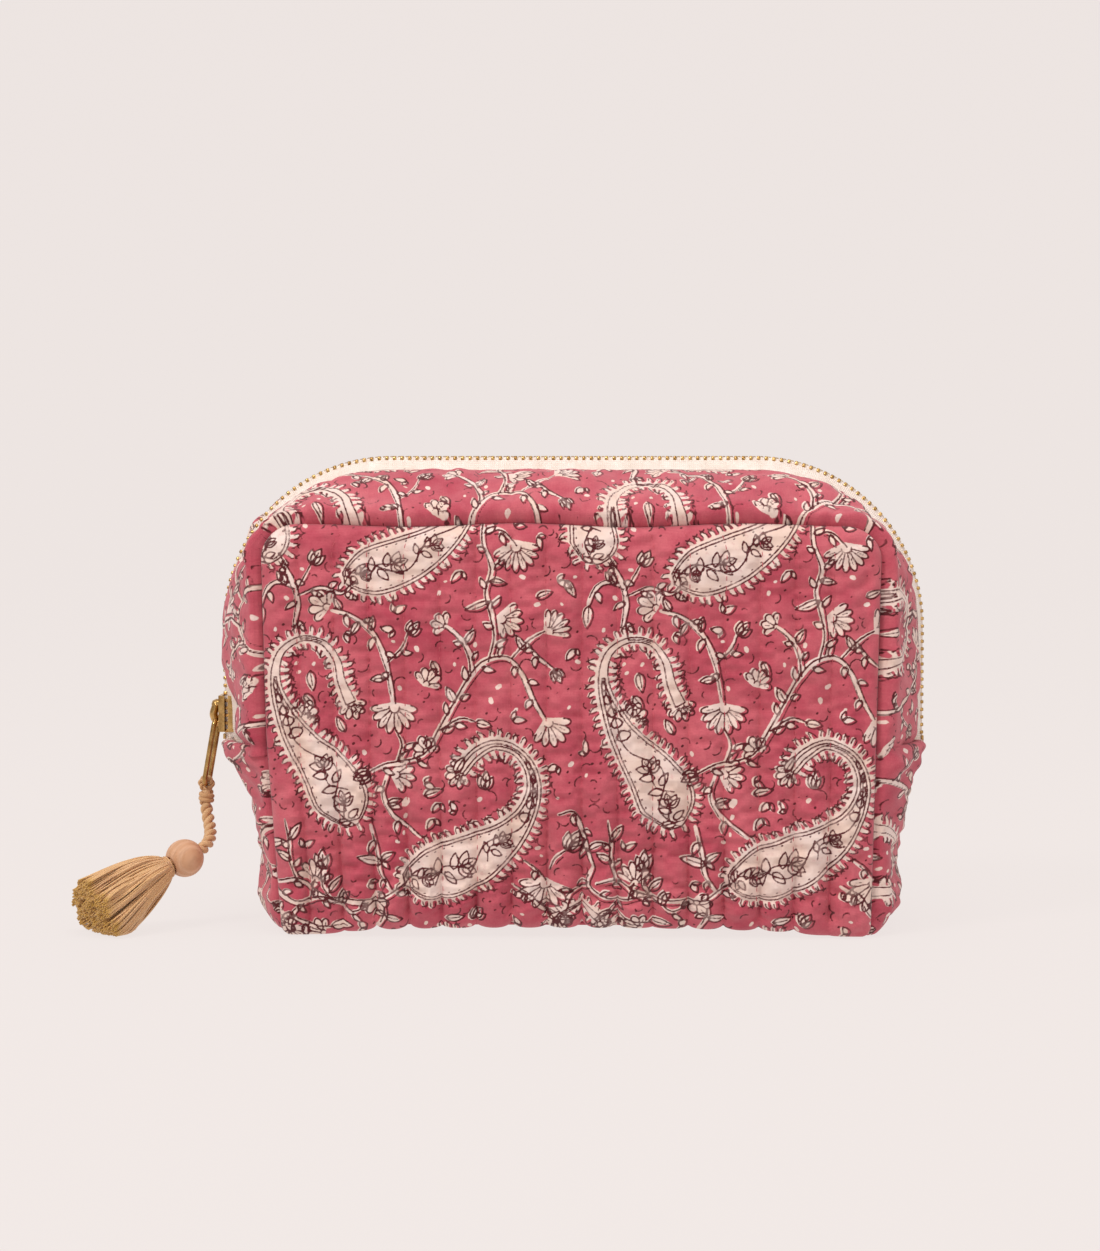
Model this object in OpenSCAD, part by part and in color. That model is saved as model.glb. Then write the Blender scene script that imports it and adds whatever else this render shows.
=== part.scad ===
// Quilted makeup bag: a soft box with a zip round three sides and a tassel on the zip pull.
// Origin at the centre of the base. X is the width, the front faces -Y, Z is up.

/* [Panels] */
// Width of the front and back panels along the base
panel_bottom_w = 208; // [190:1:214]
// Width of the front and back panels at the top corners
panel_top_w = 214; // [200:1:220]
// Height of the front and back panels
panel_h = 143; // [135:1:160]
// Radius of the top corners of the panels
top_r = 12; // [10:1:18]
// Radius of the bottom corners of the panels
foot_r = 10; // [8:1:14]

/* [Gusset] */
// Depth of the bag from the front face to the back face
bag_depth = 88; // [80:1:100]
// Width of the bag across the zip on both sides
zip_w = 250; // [244:1:256]
// How far the top of the gusset is crowned above the panels
top_crown = 23; // [16:1:26]
// Radius of the zip's line round the top corners
zip_r = 60; // [50:1:64]
// Height where the bottom gusset ends and the zip starts
zip_end_z = 64; // [60:1:68]
// How square the bottom gusset's side is, lower is squarer
side_power = 0.42; // [0.35:0.01:0.6]

/* [Layers] */
// Thickness of the printed cotton
cover_t = 0.5; // [0.4:0.1:0.6]
// Thickness of the wadding
wadding_t = 2.6; // [2:0.1:2.6]
// Thickness of the lining
lining_t = 0.5; // [0.3:0.1:0.5]
// Gap between one layer and the next
ply_gap = 0.1; // [0.05:0.05:0.15]
// Width of the binding over the inside seams
binding_w = 8; // [6:1:10]

/* [Zip] */
// Distance from one tooth to the next on the same side
tooth_pitch = 2.7; // [2.6:0.1:3]
// Length of a tooth along the zip
tooth_l = 1.15; // [1:0.05:1.2]
// Thickness of a tooth through the tape
tooth_t = 2.5; // [2.3:0.1:2.5]
// Thickness of the tape
tape_t = 0.6; // [0.5:0.05:0.7]
// Half of the opening between the two fabric edges beside the zip
zip_gap = 7.5; // [7:0.5:9]

/* [Slider and pull] */
// Length of the slider along the zip
slider_l = 13; // [12:0.5:14]
// Width of the slider
slider_w = 10.4; // [10.4:0.1:11]
// Radius of the pull's wire
wire_r = 0.8; // [0.7:0.05:0.85]
// Width of the pull's loop over its two sides
pull_w = 8; // [7.6:0.1:9]

/* [Tassel] */
// Diameter of the twisted cord
cord_d = 4.4; // [4:0.1:4.5]
// Diameter of the wooden bead
bead_d = 13.6; // [13:0.1:14]
// Diameter of the skirt where it leaves the neck
skirt_top_d = 10.4; // [9:0.1:11]
// Diameter of the skirt at its cut end
skirt_end_d = 18; // [16:0.5:18]

/* [Hidden] */

cotton = "#bb4d64";
wadding = "#f1ece2";
lining = "#ead9cf";
tape = "#efe4d2";
brass = "#b8974f";
rope = "#cda073";
wood = "#c99c78";

half_bottom = panel_bottom_w / 2;
half_top = panel_top_w / 2;
half_zip = zip_w / 2;
side_top_z = panel_h - top_r;

// Centre of the zip line's corner on the right
arc_x = half_zip - zip_r;
arc_z = panel_h + top_crown - zip_r;

// Depths of the layers under the outer surface
wadding_d = cover_t + ply_gap;
lining_d = wadding_d + wadding_t + ply_gap;
wall_t = lining_d + lining_t;
seam_gap = 0.2;
fold_gap = 0.3;
face_y = bag_depth / 2;
gusset_y = face_y - wall_t - seam_gap;
crown_y = zip_gap + 0.5;

// Depths of the zip parts under the crown of the gusset
tape_d = cover_t + 0.15;
tape_in_y = 2.6;
tape_out_y = 14.2;
thin_lining_d = tape_d + tape_t + 0.15;
tooth_top_d = tape_d + tape_t / 2 - tooth_t / 2;
tooth_in_y = 0.9;
tooth_out_y = 3.8;
jaw_clear = 0.2;

// The zip line: up the left side, over the top and down the right side
first_tooth_z = zip_end_z + 3.9;
line_d = tape_d + tape_t / 2;
side_run = arc_z - first_tooth_z;
corner_run = (zip_r - line_d) * PI / 2;
top_run = 2 * arc_x;
zip_run = 2 * side_run + 2 * corner_run + top_run;
tooth_steps = round(zip_run / tooth_pitch);
pitch = zip_run / tooth_steps;

// The flaps fold outwards above this many pitches, clear of the slider at rest
fold_steps = 9;
front_fold_z = first_tooth_z + (fold_steps + 0.5) * pitch;
back_fold_z = first_tooth_z + fold_steps * pitch;

slider_z = zip_end_z + 3.5;
slider_wall = 1.2;
channel_clear = 0.3;
post_w = 1.2;
bridge_w = 2;
bridge_rise = 3.6;
bridge_wall = 1.2;

// The pull hangs from its top bar and carries the cord on its bottom bar
pull_top = [-128, 0, 71.5];
pull_bottom = [-132, 0, 48.5];
loop_r = 2;
loop_wire_r = 1;
knot_r = 2.3;
knot_drop = 5.7;
knot_cut = 1.3;

// Middle line of the cord, from the knot to the far side of the bead
cord_route = [
  [-132, 0, 41.5], [-132, 0, 40.2], [-131.8, -0.5, 38.5], [-131.4, -1.4, 37],
  [-130.8, -2.8, 35.2], [-130.2, -4.6, 33.4], [-129.7, -6.8, 31.8], [-129.5, -9.2, 30.3],
  [-129.7, -11.8, 28.9], [-130.6, -14.3, 27.5], [-132.2, -16.4, 26.3], [-137, -20, 24],
  [-141.8, -23.6, 21.7]
];
cord_sides = 8;
bead_pos = [-137, -20, 24];
bead_bore_r = cord_d / 2 + 0.25;
bead_clear = 0.35;
neck_r = 4.3;
neck_end = 11.5;
skirt_end = 41;

corner_steps = 16;
big = 400;

function lerp(a, b, t) = a + (b - a) * t;
function unit(v) = v / norm(v);

// ---- outline of a panel, drawn inset from its edge ----

function arc_points(c, r, from, to, n) =
  [for (i = [0 : n]) let (a = lerp(from, to, i / n)) c + r * [cos(a), sin(a)]];

function panel_outline(inset) =
  let (
    rf = max(foot_r - inset, 0.5),
    rt = max(top_r - inset, 0.5),
    xf = half_bottom - inset - rf,
    xt = half_top - inset - rt,
    zt = panel_h - inset - rt
  )
  concat(
    arc_points([-xf, inset + rf], rf, 180, 270, 6),
    arc_points([xf, inset + rf], rf, 270, 360, 6),
    arc_points([xt, zt], rt, 0, 90, 12),
    arc_points([-xt, zt], rt, 90, 180, 12)
  );

// A flat plate of the panel's outline between two depths behind the front face
module panel_plate(inset, from_d, to_d) {
  translate([0, -face_y + to_d, 0])
    rotate([90, 0, 0])
      linear_extrude(to_d - from_d)
        polygon(panel_outline(inset));
}

// The part of its children above or below the fold line of a panel
module above(z) {
  intersection() {
    children();
    translate([-big / 2, -big / 2, z + fold_gap / 2])
      cube(big);
  }
}

module below(z) {
  intersection() {
    children();
    translate([-big / 2, -big / 2, z - fold_gap / 2 - big])
      cube(big);
  }
}

// Turns a piece drawn for the front half into the one for the back half
module to_back() {
  mirror([0, 1, 0])
    children();
}

// The cover wraps round the edge of the wadding as a shallow tray
module panel_cover() {
  difference() {
    panel_plate(0, 0, wall_t);
    panel_plate(cover_t, cover_t, wall_t + 1);
  }
}

module panel_wadding() {
  panel_plate(cover_t + ply_gap, wadding_d, wadding_d + wadding_t);
}

module panel_lining() {
  panel_plate(cover_t + ply_gap, lining_d, wall_t);
}

// The binding lies on the lining, just inside the seam
module seam_binding() {
  edge = wall_t + seam_gap;
  difference() {
    panel_plate(edge, wall_t + ply_gap, wall_t + ply_gap + 1.8);
    panel_plate(edge + binding_w, wall_t, wall_t + 3);
  }
}

// ---- gusset: a crowned shell drawn from stations round the outline ----
// A station is [x, z, nx, nz, bx, bz]: a point of the panel's outline, the outward normal
// there, and how far the crown stands out from it half way between front and back.

function side_x(z) =
  lerp(half_bottom, half_top, (z - foot_r) / (side_top_z - foot_r));
function side_crown(z) =
  z >= zip_end_z
    ? half_zip - side_x(z)
    : (half_zip - side_x(zip_end_z)) * pow(max(z, 0) / zip_end_z, side_power);
function side_station(s, z) = [s * side_x(z), z, s, 0, s * side_crown(z), 0];
function side_stations(s, from, to, n) =
  [for (i = [0 : n]) side_station(s, lerp(from, to, i / n))];
function foot_stations(s, from, to, n) = [
  for (i = [0 : n])
    let (
      a = lerp(from, to, i / n),
      z = foot_r + foot_r * sin(a)
    )
    [s * (half_bottom - foot_r) + foot_r * cos(a), z, cos(a), sin(a), s * side_crown(z), 0]
];

// The panel's outline beside the zip's corner, from 0 on the side to 1 on the top: [x, z]
corner_side = side_top_z - arc_z;
corner_bend = top_r * PI / 2;
corner_top = half_top - top_r - arc_x;
function panel_corner(u) =
  let (
    w = u * (corner_side + corner_bend + corner_top),
    a = 90 * (w - corner_side) / corner_bend
  )
  w < corner_side
    ? [side_x(arc_z + w), arc_z + w]
    : a < 90
      ? [half_top - top_r + top_r * cos(a), side_top_z + top_r * sin(a)]
      : [half_top - top_r - (w - corner_side - corner_bend), panel_h];
function corner_stations(s, from, to, n) = [
  for (i = [0 : n])
    let (
      u = lerp(from, to, i / n),
      p = panel_corner(u),
      out = [cos(90 * u), sin(90 * u)],
      crown = [arc_x, arc_z] + zip_r * out - p
    )
    [s * p[0], p[1], s * out[0], out[1], s * crown[0], crown[1]]
];

// From one zip end over the top to the other, starting at a height on the left side
function strip_stations(z) = concat(
  side_stations(-1, z, arc_z - 3, 2),
  corner_stations(-1, 0, 1, corner_steps),
  corner_stations(1, 1, 0, corner_steps),
  side_stations(1, arc_z - 3, z, 2)
);

// From the right zip end under the bag to the left zip end
bottom_stations = concat(
  side_stations(1, zip_end_z - fold_gap / 2, foot_r + 6, 6),
  foot_stations(1, 0, -90, 6),
  foot_stations(-1, 270, 180, 6),
  side_stations(-1, foot_r + 6, zip_end_z - fold_gap / 2, 6)
);

// A point of the gusset at a station, a place across it and a depth under its surface
function crown_at(y) =
  abs(y) <= crown_y ? 1 : 1 - pow((abs(y) - crown_y) / (gusset_y - crown_y), 2);
function slope_at(y) =
  abs(y) <= crown_y ? 0 : 2 * (abs(y) - crown_y) / pow(gusset_y - crown_y, 2);
function gusset_point(s, y, d) =
  let (
    f = crown_at(y),
    tilt = atan(slope_at(y) * norm([s[4], s[5]]))
  )
  [
    s[0] + s[4] * f - s[2] * d * cos(tilt),
    y - sign(y) * d * sin(tilt),
    s[1] + s[5] * f - s[3] * d * cos(tilt)
  ];

// A closed shell over the stations. Each column is [y, outer depth, inner depth].
module shell(stations, columns) {
  n = len(stations);
  m = len(columns);
  points = [
    for (k = [1, 2], s = stations, c = columns)
      gusset_point(s, c[0], c[k])
  ];
  function at(k, i, j) = k * n * m + i * m + j;
  function quad(a, b, c, d) = [[a, b, c], [a, c, d]];
  skins = [
    for (i = [0 : n - 2], j = [0 : m - 2])
      each concat(
        quad(at(0, i, j), at(0, i, j + 1), at(0, i + 1, j + 1), at(0, i + 1, j)),
        quad(at(1, i, j), at(1, i + 1, j), at(1, i + 1, j + 1), at(1, i, j + 1))
      )
  ];
  edges = [
    for (i = [0 : n - 2])
      each concat(
        quad(at(0, i, 0), at(0, i + 1, 0), at(1, i + 1, 0), at(1, i, 0)),
        quad(at(0, i, m - 1), at(1, i, m - 1), at(1, i + 1, m - 1), at(0, i + 1, m - 1))
      )
  ];
  ends = [
    for (j = [0 : m - 2])
      each concat(
        quad(at(0, 0, j + 1), at(0, 0, j), at(1, 0, j), at(1, 0, j + 1)),
        quad(at(0, n - 1, j), at(0, n - 1, j + 1), at(1, n - 1, j + 1), at(1, n - 1, j))
      )
  ];
  polyhedron(points, concat(skins, edges, ends));
}

// Columns of each layer of the front half, from the seam to the zip
seam_columns = [-gusset_y, -gusset_y * 0.84, -gusset_y * 0.66, -gusset_y * 0.48];
zip_columns = [-tape_out_y, -(tape_out_y + crown_y) / 2, -crown_y];
cover_columns = [for (y = concat(seam_columns, zip_columns, [-zip_gap])) [y, 0, cover_t]];
wadding_columns = concat(
  [for (y = seam_columns) [y, wadding_d, wadding_d + wadding_t]],
  [[-tape_out_y - 0.3, wadding_d, thin_lining_d - ply_gap]]
);
lining_columns = concat(
  [for (y = seam_columns) [y, lining_d, wall_t]],
  [for (y = concat(zip_columns, [-zip_gap])) [y, thin_lining_d, thin_lining_d + lining_t]]
);
tape_columns = [for (y = concat(zip_columns, [-tape_in_y])) [y, tape_d, tape_d + tape_t]];

// Columns of a layer right across the bottom gusset
function across(from_d, to_d) = [
  for (t = [-1, -0.84, -0.66, -0.48, -0.3, 0, 0.3, 0.48, 0.66, 0.84, 1])
    [t * gusset_y, from_d, to_d]
];

module strip(columns) {
  shell(strip_stations(front_fold_z + fold_gap / 2), columns);
}

module back_half_strip(columns) {
  to_back()
    shell(strip_stations(back_fold_z + fold_gap / 2), columns);
}

// The same layer between the zip ends and the fold, on both sides, front and back
module side_pieces(columns) {
  start = zip_end_z + fold_gap / 2;
  for (s = [-1, 1]) {
    front = [start, front_fold_z - fold_gap / 2];
    back = [start, back_fold_z - fold_gap / 2];
    shell(side_stations(s, front[s < 0 ? 0 : 1], front[s < 0 ? 1 : 0], 2), columns);
    to_back()
      shell(side_stations(s, back[s < 0 ? 0 : 1], back[s < 0 ? 1 : 0], 2), columns);
  }
}

// ---- zip ----

// Place and direction on the zip line at a distance from its first tooth: [x, z, angle]
function zip_line(s) =
  s <= side_run
    ? [-half_zip + line_d, first_tooth_z + s, 180]
    : s < side_run + corner_run
      ? corner_line(-1, 180 - 90 * (s - side_run) / corner_run)
      : s <= side_run + corner_run + top_run
        ? [s - side_run - corner_run - top_run / 2, panel_h + top_crown - line_d, 90]
        : s < zip_run - side_run
          ? corner_line(1, 90 * (zip_run - side_run - s) / corner_run)
          : [half_zip - line_d, first_tooth_z + zip_run - s, 0];
function corner_line(s, a) =
  [s * arc_x + (zip_r - line_d) * cos(a), arc_z + (zip_r - line_d) * sin(a), a];

// Moves a piece drawn at the origin, outward along +Z, onto the zip line
module on_zip(s) {
  p = zip_line(s);
  translate([p[0], 0, p[1]])
    rotate([0, 90 - p[2], 0])
      children();
}

// A clamp of the teeth's profile: a head by the middle and two jaws on the tape
module zip_clamp(l) {
  top = line_d - tooth_top_d;
  jaw = tape_t / 2 + jaw_clear;
  rotate([90, 0, 90])
    linear_extrude(l, center = true)
      polygon([
        [-tooth_in_y, top], [-tooth_out_y, top], [-tooth_out_y, jaw],
        [-tape_in_y + jaw_clear, jaw], [-tape_in_y + jaw_clear, -jaw], [-tooth_out_y, -jaw],
        [-tooth_out_y, -top], [-tooth_in_y, -top]
      ]);
}

// Teeth of the front half from one step to another, or of the back half half a pitch on
module front_row(from, to) {
  for (i = [from : to])
    on_zip(i * pitch)
      zip_clamp(tooth_l);
}

module back_row(from, to) {
  for (i = [from : to])
    on_zip((i + 0.5) * pitch)
      to_back()
        zip_clamp(tooth_l);
}

// ---- quilted panels ----

module front_cover_lower() {
  color(cotton) below(front_fold_z) panel_cover();
}

module front_cover_upper() {
  color(cotton) above(front_fold_z) panel_cover();
}

module front_wadding_lower() {
  color(wadding) below(front_fold_z) panel_wadding();
}

module front_wadding_upper() {
  color(wadding) above(front_fold_z) panel_wadding();
}

module front_lining_lower() {
  color(lining) below(front_fold_z) panel_lining();
}

module front_lining_upper() {
  color(lining) above(front_fold_z) panel_lining();
}

module front_binding_lower() {
  color(tape) below(front_fold_z) seam_binding();
}

module front_binding_upper() {
  color(tape) above(front_fold_z) seam_binding();
}

module back_cover_lower() {
  color(cotton) below(back_fold_z) to_back() panel_cover();
}

module back_cover_upper() {
  color(cotton) above(back_fold_z) to_back() panel_cover();
}

module back_wadding_lower() {
  color(wadding) below(back_fold_z) to_back() panel_wadding();
}

module back_wadding_upper() {
  color(wadding) above(back_fold_z) to_back() panel_wadding();
}

module back_lining_lower() {
  color(lining) below(back_fold_z) to_back() panel_lining();
}

module back_lining_upper() {
  color(lining) above(back_fold_z) to_back() panel_lining();
}

module back_binding_lower() {
  color(tape) below(back_fold_z) to_back() seam_binding();
}

module back_binding_upper() {
  color(tape) above(back_fold_z) to_back() seam_binding();
}

module bottom_gusset() {
  color(cotton) shell(bottom_stations, across(0, cover_t));
}

module bottom_gusset_wadding() {
  color(wadding) shell(bottom_stations, across(wadding_d, wadding_d + wadding_t));
}

module bottom_gusset_lining() {
  color(lining) shell(bottom_stations, across(lining_d, wall_t));
}

module side_strips() {
  color(cotton) side_pieces(cover_columns);
}

module side_strips_wadding() {
  color(wadding) side_pieces(wadding_columns);
}

module side_strips_lining() {
  color(lining) side_pieces(lining_columns);
}

module front_strip() {
  color(cotton) strip(cover_columns);
}

module front_strip_wadding() {
  color(wadding) strip(wadding_columns);
}

module front_strip_lining() {
  color(lining) strip(lining_columns);
}

module back_strip() {
  color(cotton) back_half_strip(cover_columns);
}

module back_strip_wadding() {
  color(wadding) back_half_strip(wadding_columns);
}

module back_strip_lining() {
  color(lining) back_half_strip(lining_columns);
}

// ---- zip parts ----

module front_tape() {
  color(tape) strip(tape_columns);
}

module back_tape() {
  color(tape) back_half_strip(tape_columns);
}

module tape_ends() {
  color(tape) side_pieces(tape_columns);
}

module front_teeth() {
  color(brass) front_row(fold_steps + 1, tooth_steps - fold_steps - 1);
}

module back_teeth() {
  color(brass) back_row(fold_steps, tooth_steps - fold_steps - 1);
}

module end_teeth() {
  color(brass) {
    front_row(0, fold_steps);
    front_row(tooth_steps - fold_steps, tooth_steps);
    back_row(0, fold_steps - 1);
    back_row(tooth_steps - fold_steps, tooth_steps - 1);
  }
}

// One clamp on each tape below the first teeth of the left side
module top_stops() {
  color(brass) {
    on_zip(-2.1) zip_clamp(1.8);
    on_zip(-2.1) to_back() zip_clamp(1.8);
  }
}

// One box across both tapes below the last teeth of the right side
module bottom_stop() {
  color(brass)
    on_zip(zip_run + 2.1)
      union() {
        zip_clamp(1.8);
        to_back() zip_clamp(1.8);
        cube([1.8, 2 * tooth_in_y + 0.4, 2 * (line_d - tooth_top_d)], center = true);
      }
}

// ---- slider and pull ----

// A wing of the slider: a plate with a flange along each side, s is 1 outside and -1 inside
module slider_wing(s) {
  inner = line_d - tooth_top_d + channel_clear;
  slot = tape_t / 2 + channel_clear;
  rim = (slider_w - 2 * tooth_out_y - 2 * channel_clear) / 2;
  translate([0, 0, s * (inner + slider_wall / 2)])
    cube([slider_l, slider_w, slider_wall], center = true);
  for (side = [-1, 1])
    translate([0, side * (slider_w - rim) / 2, s * (slot + inner + slider_wall / 2) / 2])
      cube([slider_l, rim, inner + slider_wall / 2 - slot], center = true);
}

// Puts a piece drawn at the slider's middle, outward along +Z, on the zip at rest
module at_slider() {
  translate([-half_zip + line_d, 0, slider_z + slider_l / 2])
    rotate([0, -90, 0])
      children();
}

module slider_body() {
  inner = line_d - tooth_top_d + channel_clear;
  color(brass)
    at_slider()
      union() {
        slider_wing(1);
        slider_wing(-1);
        translate([-slider_l / 2 + 1.6, 0, 0])
          cube([2.6, post_w, 2 * inner + 1], center = true);
      }
}

// A flat strap that stands on the outer wing and holds the pull's top bar
module slider_bridge() {
  base = line_d - tooth_top_d + channel_clear + slider_wall;
  length = 9;
  color(brass)
    at_slider()
      rotate([90, 0, 0])
        linear_extrude(bridge_w, center = true)
          difference() {
            translate([-length / 2, base])
              square([length, bridge_rise]);
            translate([-length / 2 + bridge_wall, base - 1])
              square([length - 2 * bridge_wall, bridge_rise - bridge_wall + 1]);
          }
}

// A closed loop of round wire, drawn hanging down from the origin
module wire_loop(length, width, r, bend) {
  x = width / 2 - r;
  for (z = [0, -length])
    translate([0, 0, z])
      rotate([90, 0, 0])
        cylinder(h = 2 * (x - bend), r = r, center = true, $fn = 48);
  for (s = [-1, 1])
    translate([0, s * x, -length / 2])
      cylinder(h = length - 2 * bend, r = r, center = true, $fn = 48);
  for (s = [-1, 1], top = [0, 1])
    translate([0, s * (x - bend), top == 1 ? -bend : bend - length])
      rotate([90, 0, 90])
        rotate([0, 0, s > 0 ? (top == 1 ? 0 : 270) : (top == 1 ? 90 : 180)])
          rotate_extrude(angle = 90, $fn = 48)
            translate([bend, 0])
              circle(r, $fn = 48);
}

module pull_loop() {
  drop = pull_bottom - pull_top;
  color(brass)
    translate(pull_top)
      rotate([0, atan2(-drop[0], -drop[2]), 0])
        wire_loop(norm(drop), pull_w, wire_r, 1.4);
}

// ---- tassel ----

// A turn of cord round the pull's bottom bar
module cord_loop() {
  color(rope)
    translate(pull_bottom)
      rotate([90, 0, 0])
        rotate_extrude($fn = 48)
          translate([loop_r, 0])
            circle(loop_wire_r, $fn = 32);
}

module tassel_knot() {
  color(rope)
    translate(pull_bottom - [0, 0, knot_drop])
      intersection() {
        sphere(knot_r, $fn = 48);
        translate([-knot_r, -knot_r, -knot_cut])
          cube(2 * knot_r);
      }
}

// A tube swept along the route's points, each ring square to the route there
module tassel_cord() {
  n = len(cord_route);
  tangents = [
    for (i = [0 : n - 1])
      unit(cord_route[min(i + 1, n - 1)] - cord_route[max(i - 1, 0)])
  ];
  points = [
    for (i = [0 : n - 1])
      let (
        u = unit(cross([1, 0, 0], tangents[i])),
        v = cross(tangents[i], u)
      )
      for (k = [0 : cord_sides - 1])
        let (a = 360 * k / cord_sides)
        cord_route[i] + cord_d / 2 * (u * cos(a) + v * sin(a))
  ];
  walls = [
    for (i = [0 : n - 2], k = [0 : cord_sides - 1])
      let (
        a = i * cord_sides + k,
        b = i * cord_sides + (k + 1) % cord_sides
      )
      each [[a, b, b + cord_sides], [a, b + cord_sides, a + cord_sides]]
  ];
  caps = [
    [for (k = [cord_sides - 1 : -1 : 0]) k],
    [for (k = [0 : cord_sides - 1]) (n - 1) * cord_sides + k]
  ];
  color(rope)
    polyhedron(points, concat(walls, caps));
}

// Turns a piece drawn along +Z from the bead's middle to lie along the tassel
module along_tassel() {
  d = unit(cord_route[len(cord_route) - 1] - bead_pos);
  translate(bead_pos)
    rotate([0, acos(d[2]), atan2(d[1], d[0])])
      children();
}

module tassel_bead() {
  color(wood)
    along_tassel()
      difference() {
        sphere(d = bead_d, $fn = 64);
        cylinder(h = 2 * bead_d, r = bead_bore_r, center = true, $fn = 48);
      }
}

// The thread wound round the top of the strands, hollowed to sit under the bead
module tassel_neck() {
  color(rope)
    along_tassel()
      difference() {
        translate([0, 0, bead_d / 4])
          cylinder(h = neck_end - bead_d / 4, r = neck_r, $fn = 48);
        sphere(bead_d / 2 + bead_clear, $fn = 64);
      }
}

module tassel_skirt() {
  color(rope)
    along_tassel()
      translate([0, 0, neck_end + ply_gap])
        cylinder(
          h = skirt_end - neck_end - ply_gap,
          r1 = skirt_top_d / 2,
          r2 = skirt_end_d / 2,
          $fn = 64
        );
}

front_cover_lower();
front_cover_upper();
front_wadding_lower();
front_wadding_upper();
front_lining_lower();
front_lining_upper();
front_binding_lower();
front_binding_upper();
back_cover_lower();
back_cover_upper();
back_wadding_lower();
back_wadding_upper();
back_lining_lower();
back_lining_upper();
back_binding_lower();
back_binding_upper();
bottom_gusset();
bottom_gusset_wadding();
bottom_gusset_lining();
side_strips();
side_strips_wadding();
side_strips_lining();
front_strip();
front_strip_wadding();
front_strip_lining();
back_strip();
back_strip_wadding();
back_strip_lining();
front_tape();
back_tape();
tape_ends();
front_teeth();
back_teeth();
end_teeth();
top_stops();
bottom_stop();
slider_body();
slider_bridge();
pull_loop();
cord_loop();
tassel_knot();
tassel_cord();
tassel_bead();
tassel_neck();
tassel_skirt();
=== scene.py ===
"""A quilted makeup bag: printed cotton panels, a zip round three sides and a cord tassel.

Lengths are in metres in the frame of the CAD model: X is the width, the front faces -Y and Z is up.
The print is laid out in millimetres of cloth.
"""

import math

import bpy
import numpy as np
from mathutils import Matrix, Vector


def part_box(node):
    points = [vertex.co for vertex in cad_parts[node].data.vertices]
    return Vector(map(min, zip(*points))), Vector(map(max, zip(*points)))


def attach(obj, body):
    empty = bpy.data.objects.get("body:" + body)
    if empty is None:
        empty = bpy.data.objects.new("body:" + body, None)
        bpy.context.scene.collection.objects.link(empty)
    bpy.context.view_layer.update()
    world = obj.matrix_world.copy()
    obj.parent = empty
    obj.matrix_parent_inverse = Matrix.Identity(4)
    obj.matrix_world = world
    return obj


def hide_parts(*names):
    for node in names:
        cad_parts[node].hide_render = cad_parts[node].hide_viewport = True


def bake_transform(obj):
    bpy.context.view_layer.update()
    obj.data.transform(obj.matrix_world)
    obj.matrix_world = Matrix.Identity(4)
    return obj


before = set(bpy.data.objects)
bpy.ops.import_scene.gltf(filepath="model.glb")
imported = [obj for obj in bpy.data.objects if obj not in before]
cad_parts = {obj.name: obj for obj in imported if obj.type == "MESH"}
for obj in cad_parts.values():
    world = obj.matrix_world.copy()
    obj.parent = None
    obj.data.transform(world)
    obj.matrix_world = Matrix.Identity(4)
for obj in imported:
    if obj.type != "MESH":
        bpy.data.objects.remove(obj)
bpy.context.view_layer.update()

MM = 0.001

# ---- measures of the bag, as in the CAD model ----

FACE_Y = -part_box("front_cover_lower")[0].y
GUSSET_Y = -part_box("front_strip")[0].y
PANEL_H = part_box("front_cover_upper")[1].z
HALF_BOTTOM = 104 * MM
HALF_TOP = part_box("front_cover_upper")[1].x
TOP_R = 12 * MM
FOOT_R = 3.5 * MM
HALF_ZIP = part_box("front_strip")[1].x
ZIP_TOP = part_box("front_strip")[1].z
ZIP_END_Z = 64 * MM
ZIP_R = 60 * MM
ARC_X = HALF_ZIP - ZIP_R
ARC_Z = ZIP_TOP - ZIP_R
SIDE_TOP_Z = PANEL_H - TOP_R
CROWN_Y = 8 * MM
ZIP_GAP = 7.5 * MM
SIDE_POWER = 0.42
WALL = 3.8 * MM
LINE_DEPTH = 0.95 * MM
FIRST_TOOTH_Z = 67.9 * MM
TOOTH_PITCH = 2.7 * MM
CHANNEL = 12.2 * MM
CHANNEL_START = 4.1 * MM

# ---- camera ----

CAMERA_AZIMUTH = math.radians(1.5)
CAMERA_ELEVATION = math.radians(3)
CAMERA_DISTANCE = 1.0586
CAMERA_TARGET = Vector((-0.0081, 0, 0.1056))


def make_camera():
    back = Vector((
        math.sin(CAMERA_AZIMUTH) * math.cos(CAMERA_ELEVATION),
        -math.cos(CAMERA_AZIMUTH) * math.cos(CAMERA_ELEVATION),
        math.sin(CAMERA_ELEVATION),
    ))
    camera = bpy.data.objects.new("camera", bpy.data.cameras.new("camera"))
    camera.data.lens = 85
    camera.data.sensor_width = 36
    camera.location = CAMERA_TARGET + back * CAMERA_DISTANCE
    camera.rotation_mode = "QUATERNION"
    camera.rotation_quaternion = (-back).to_track_quat("-Z", "Y")
    bpy.context.scene.collection.objects.link(camera)
    bpy.context.scene.camera = camera


make_camera()

# ---- mesh tools ----


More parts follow.
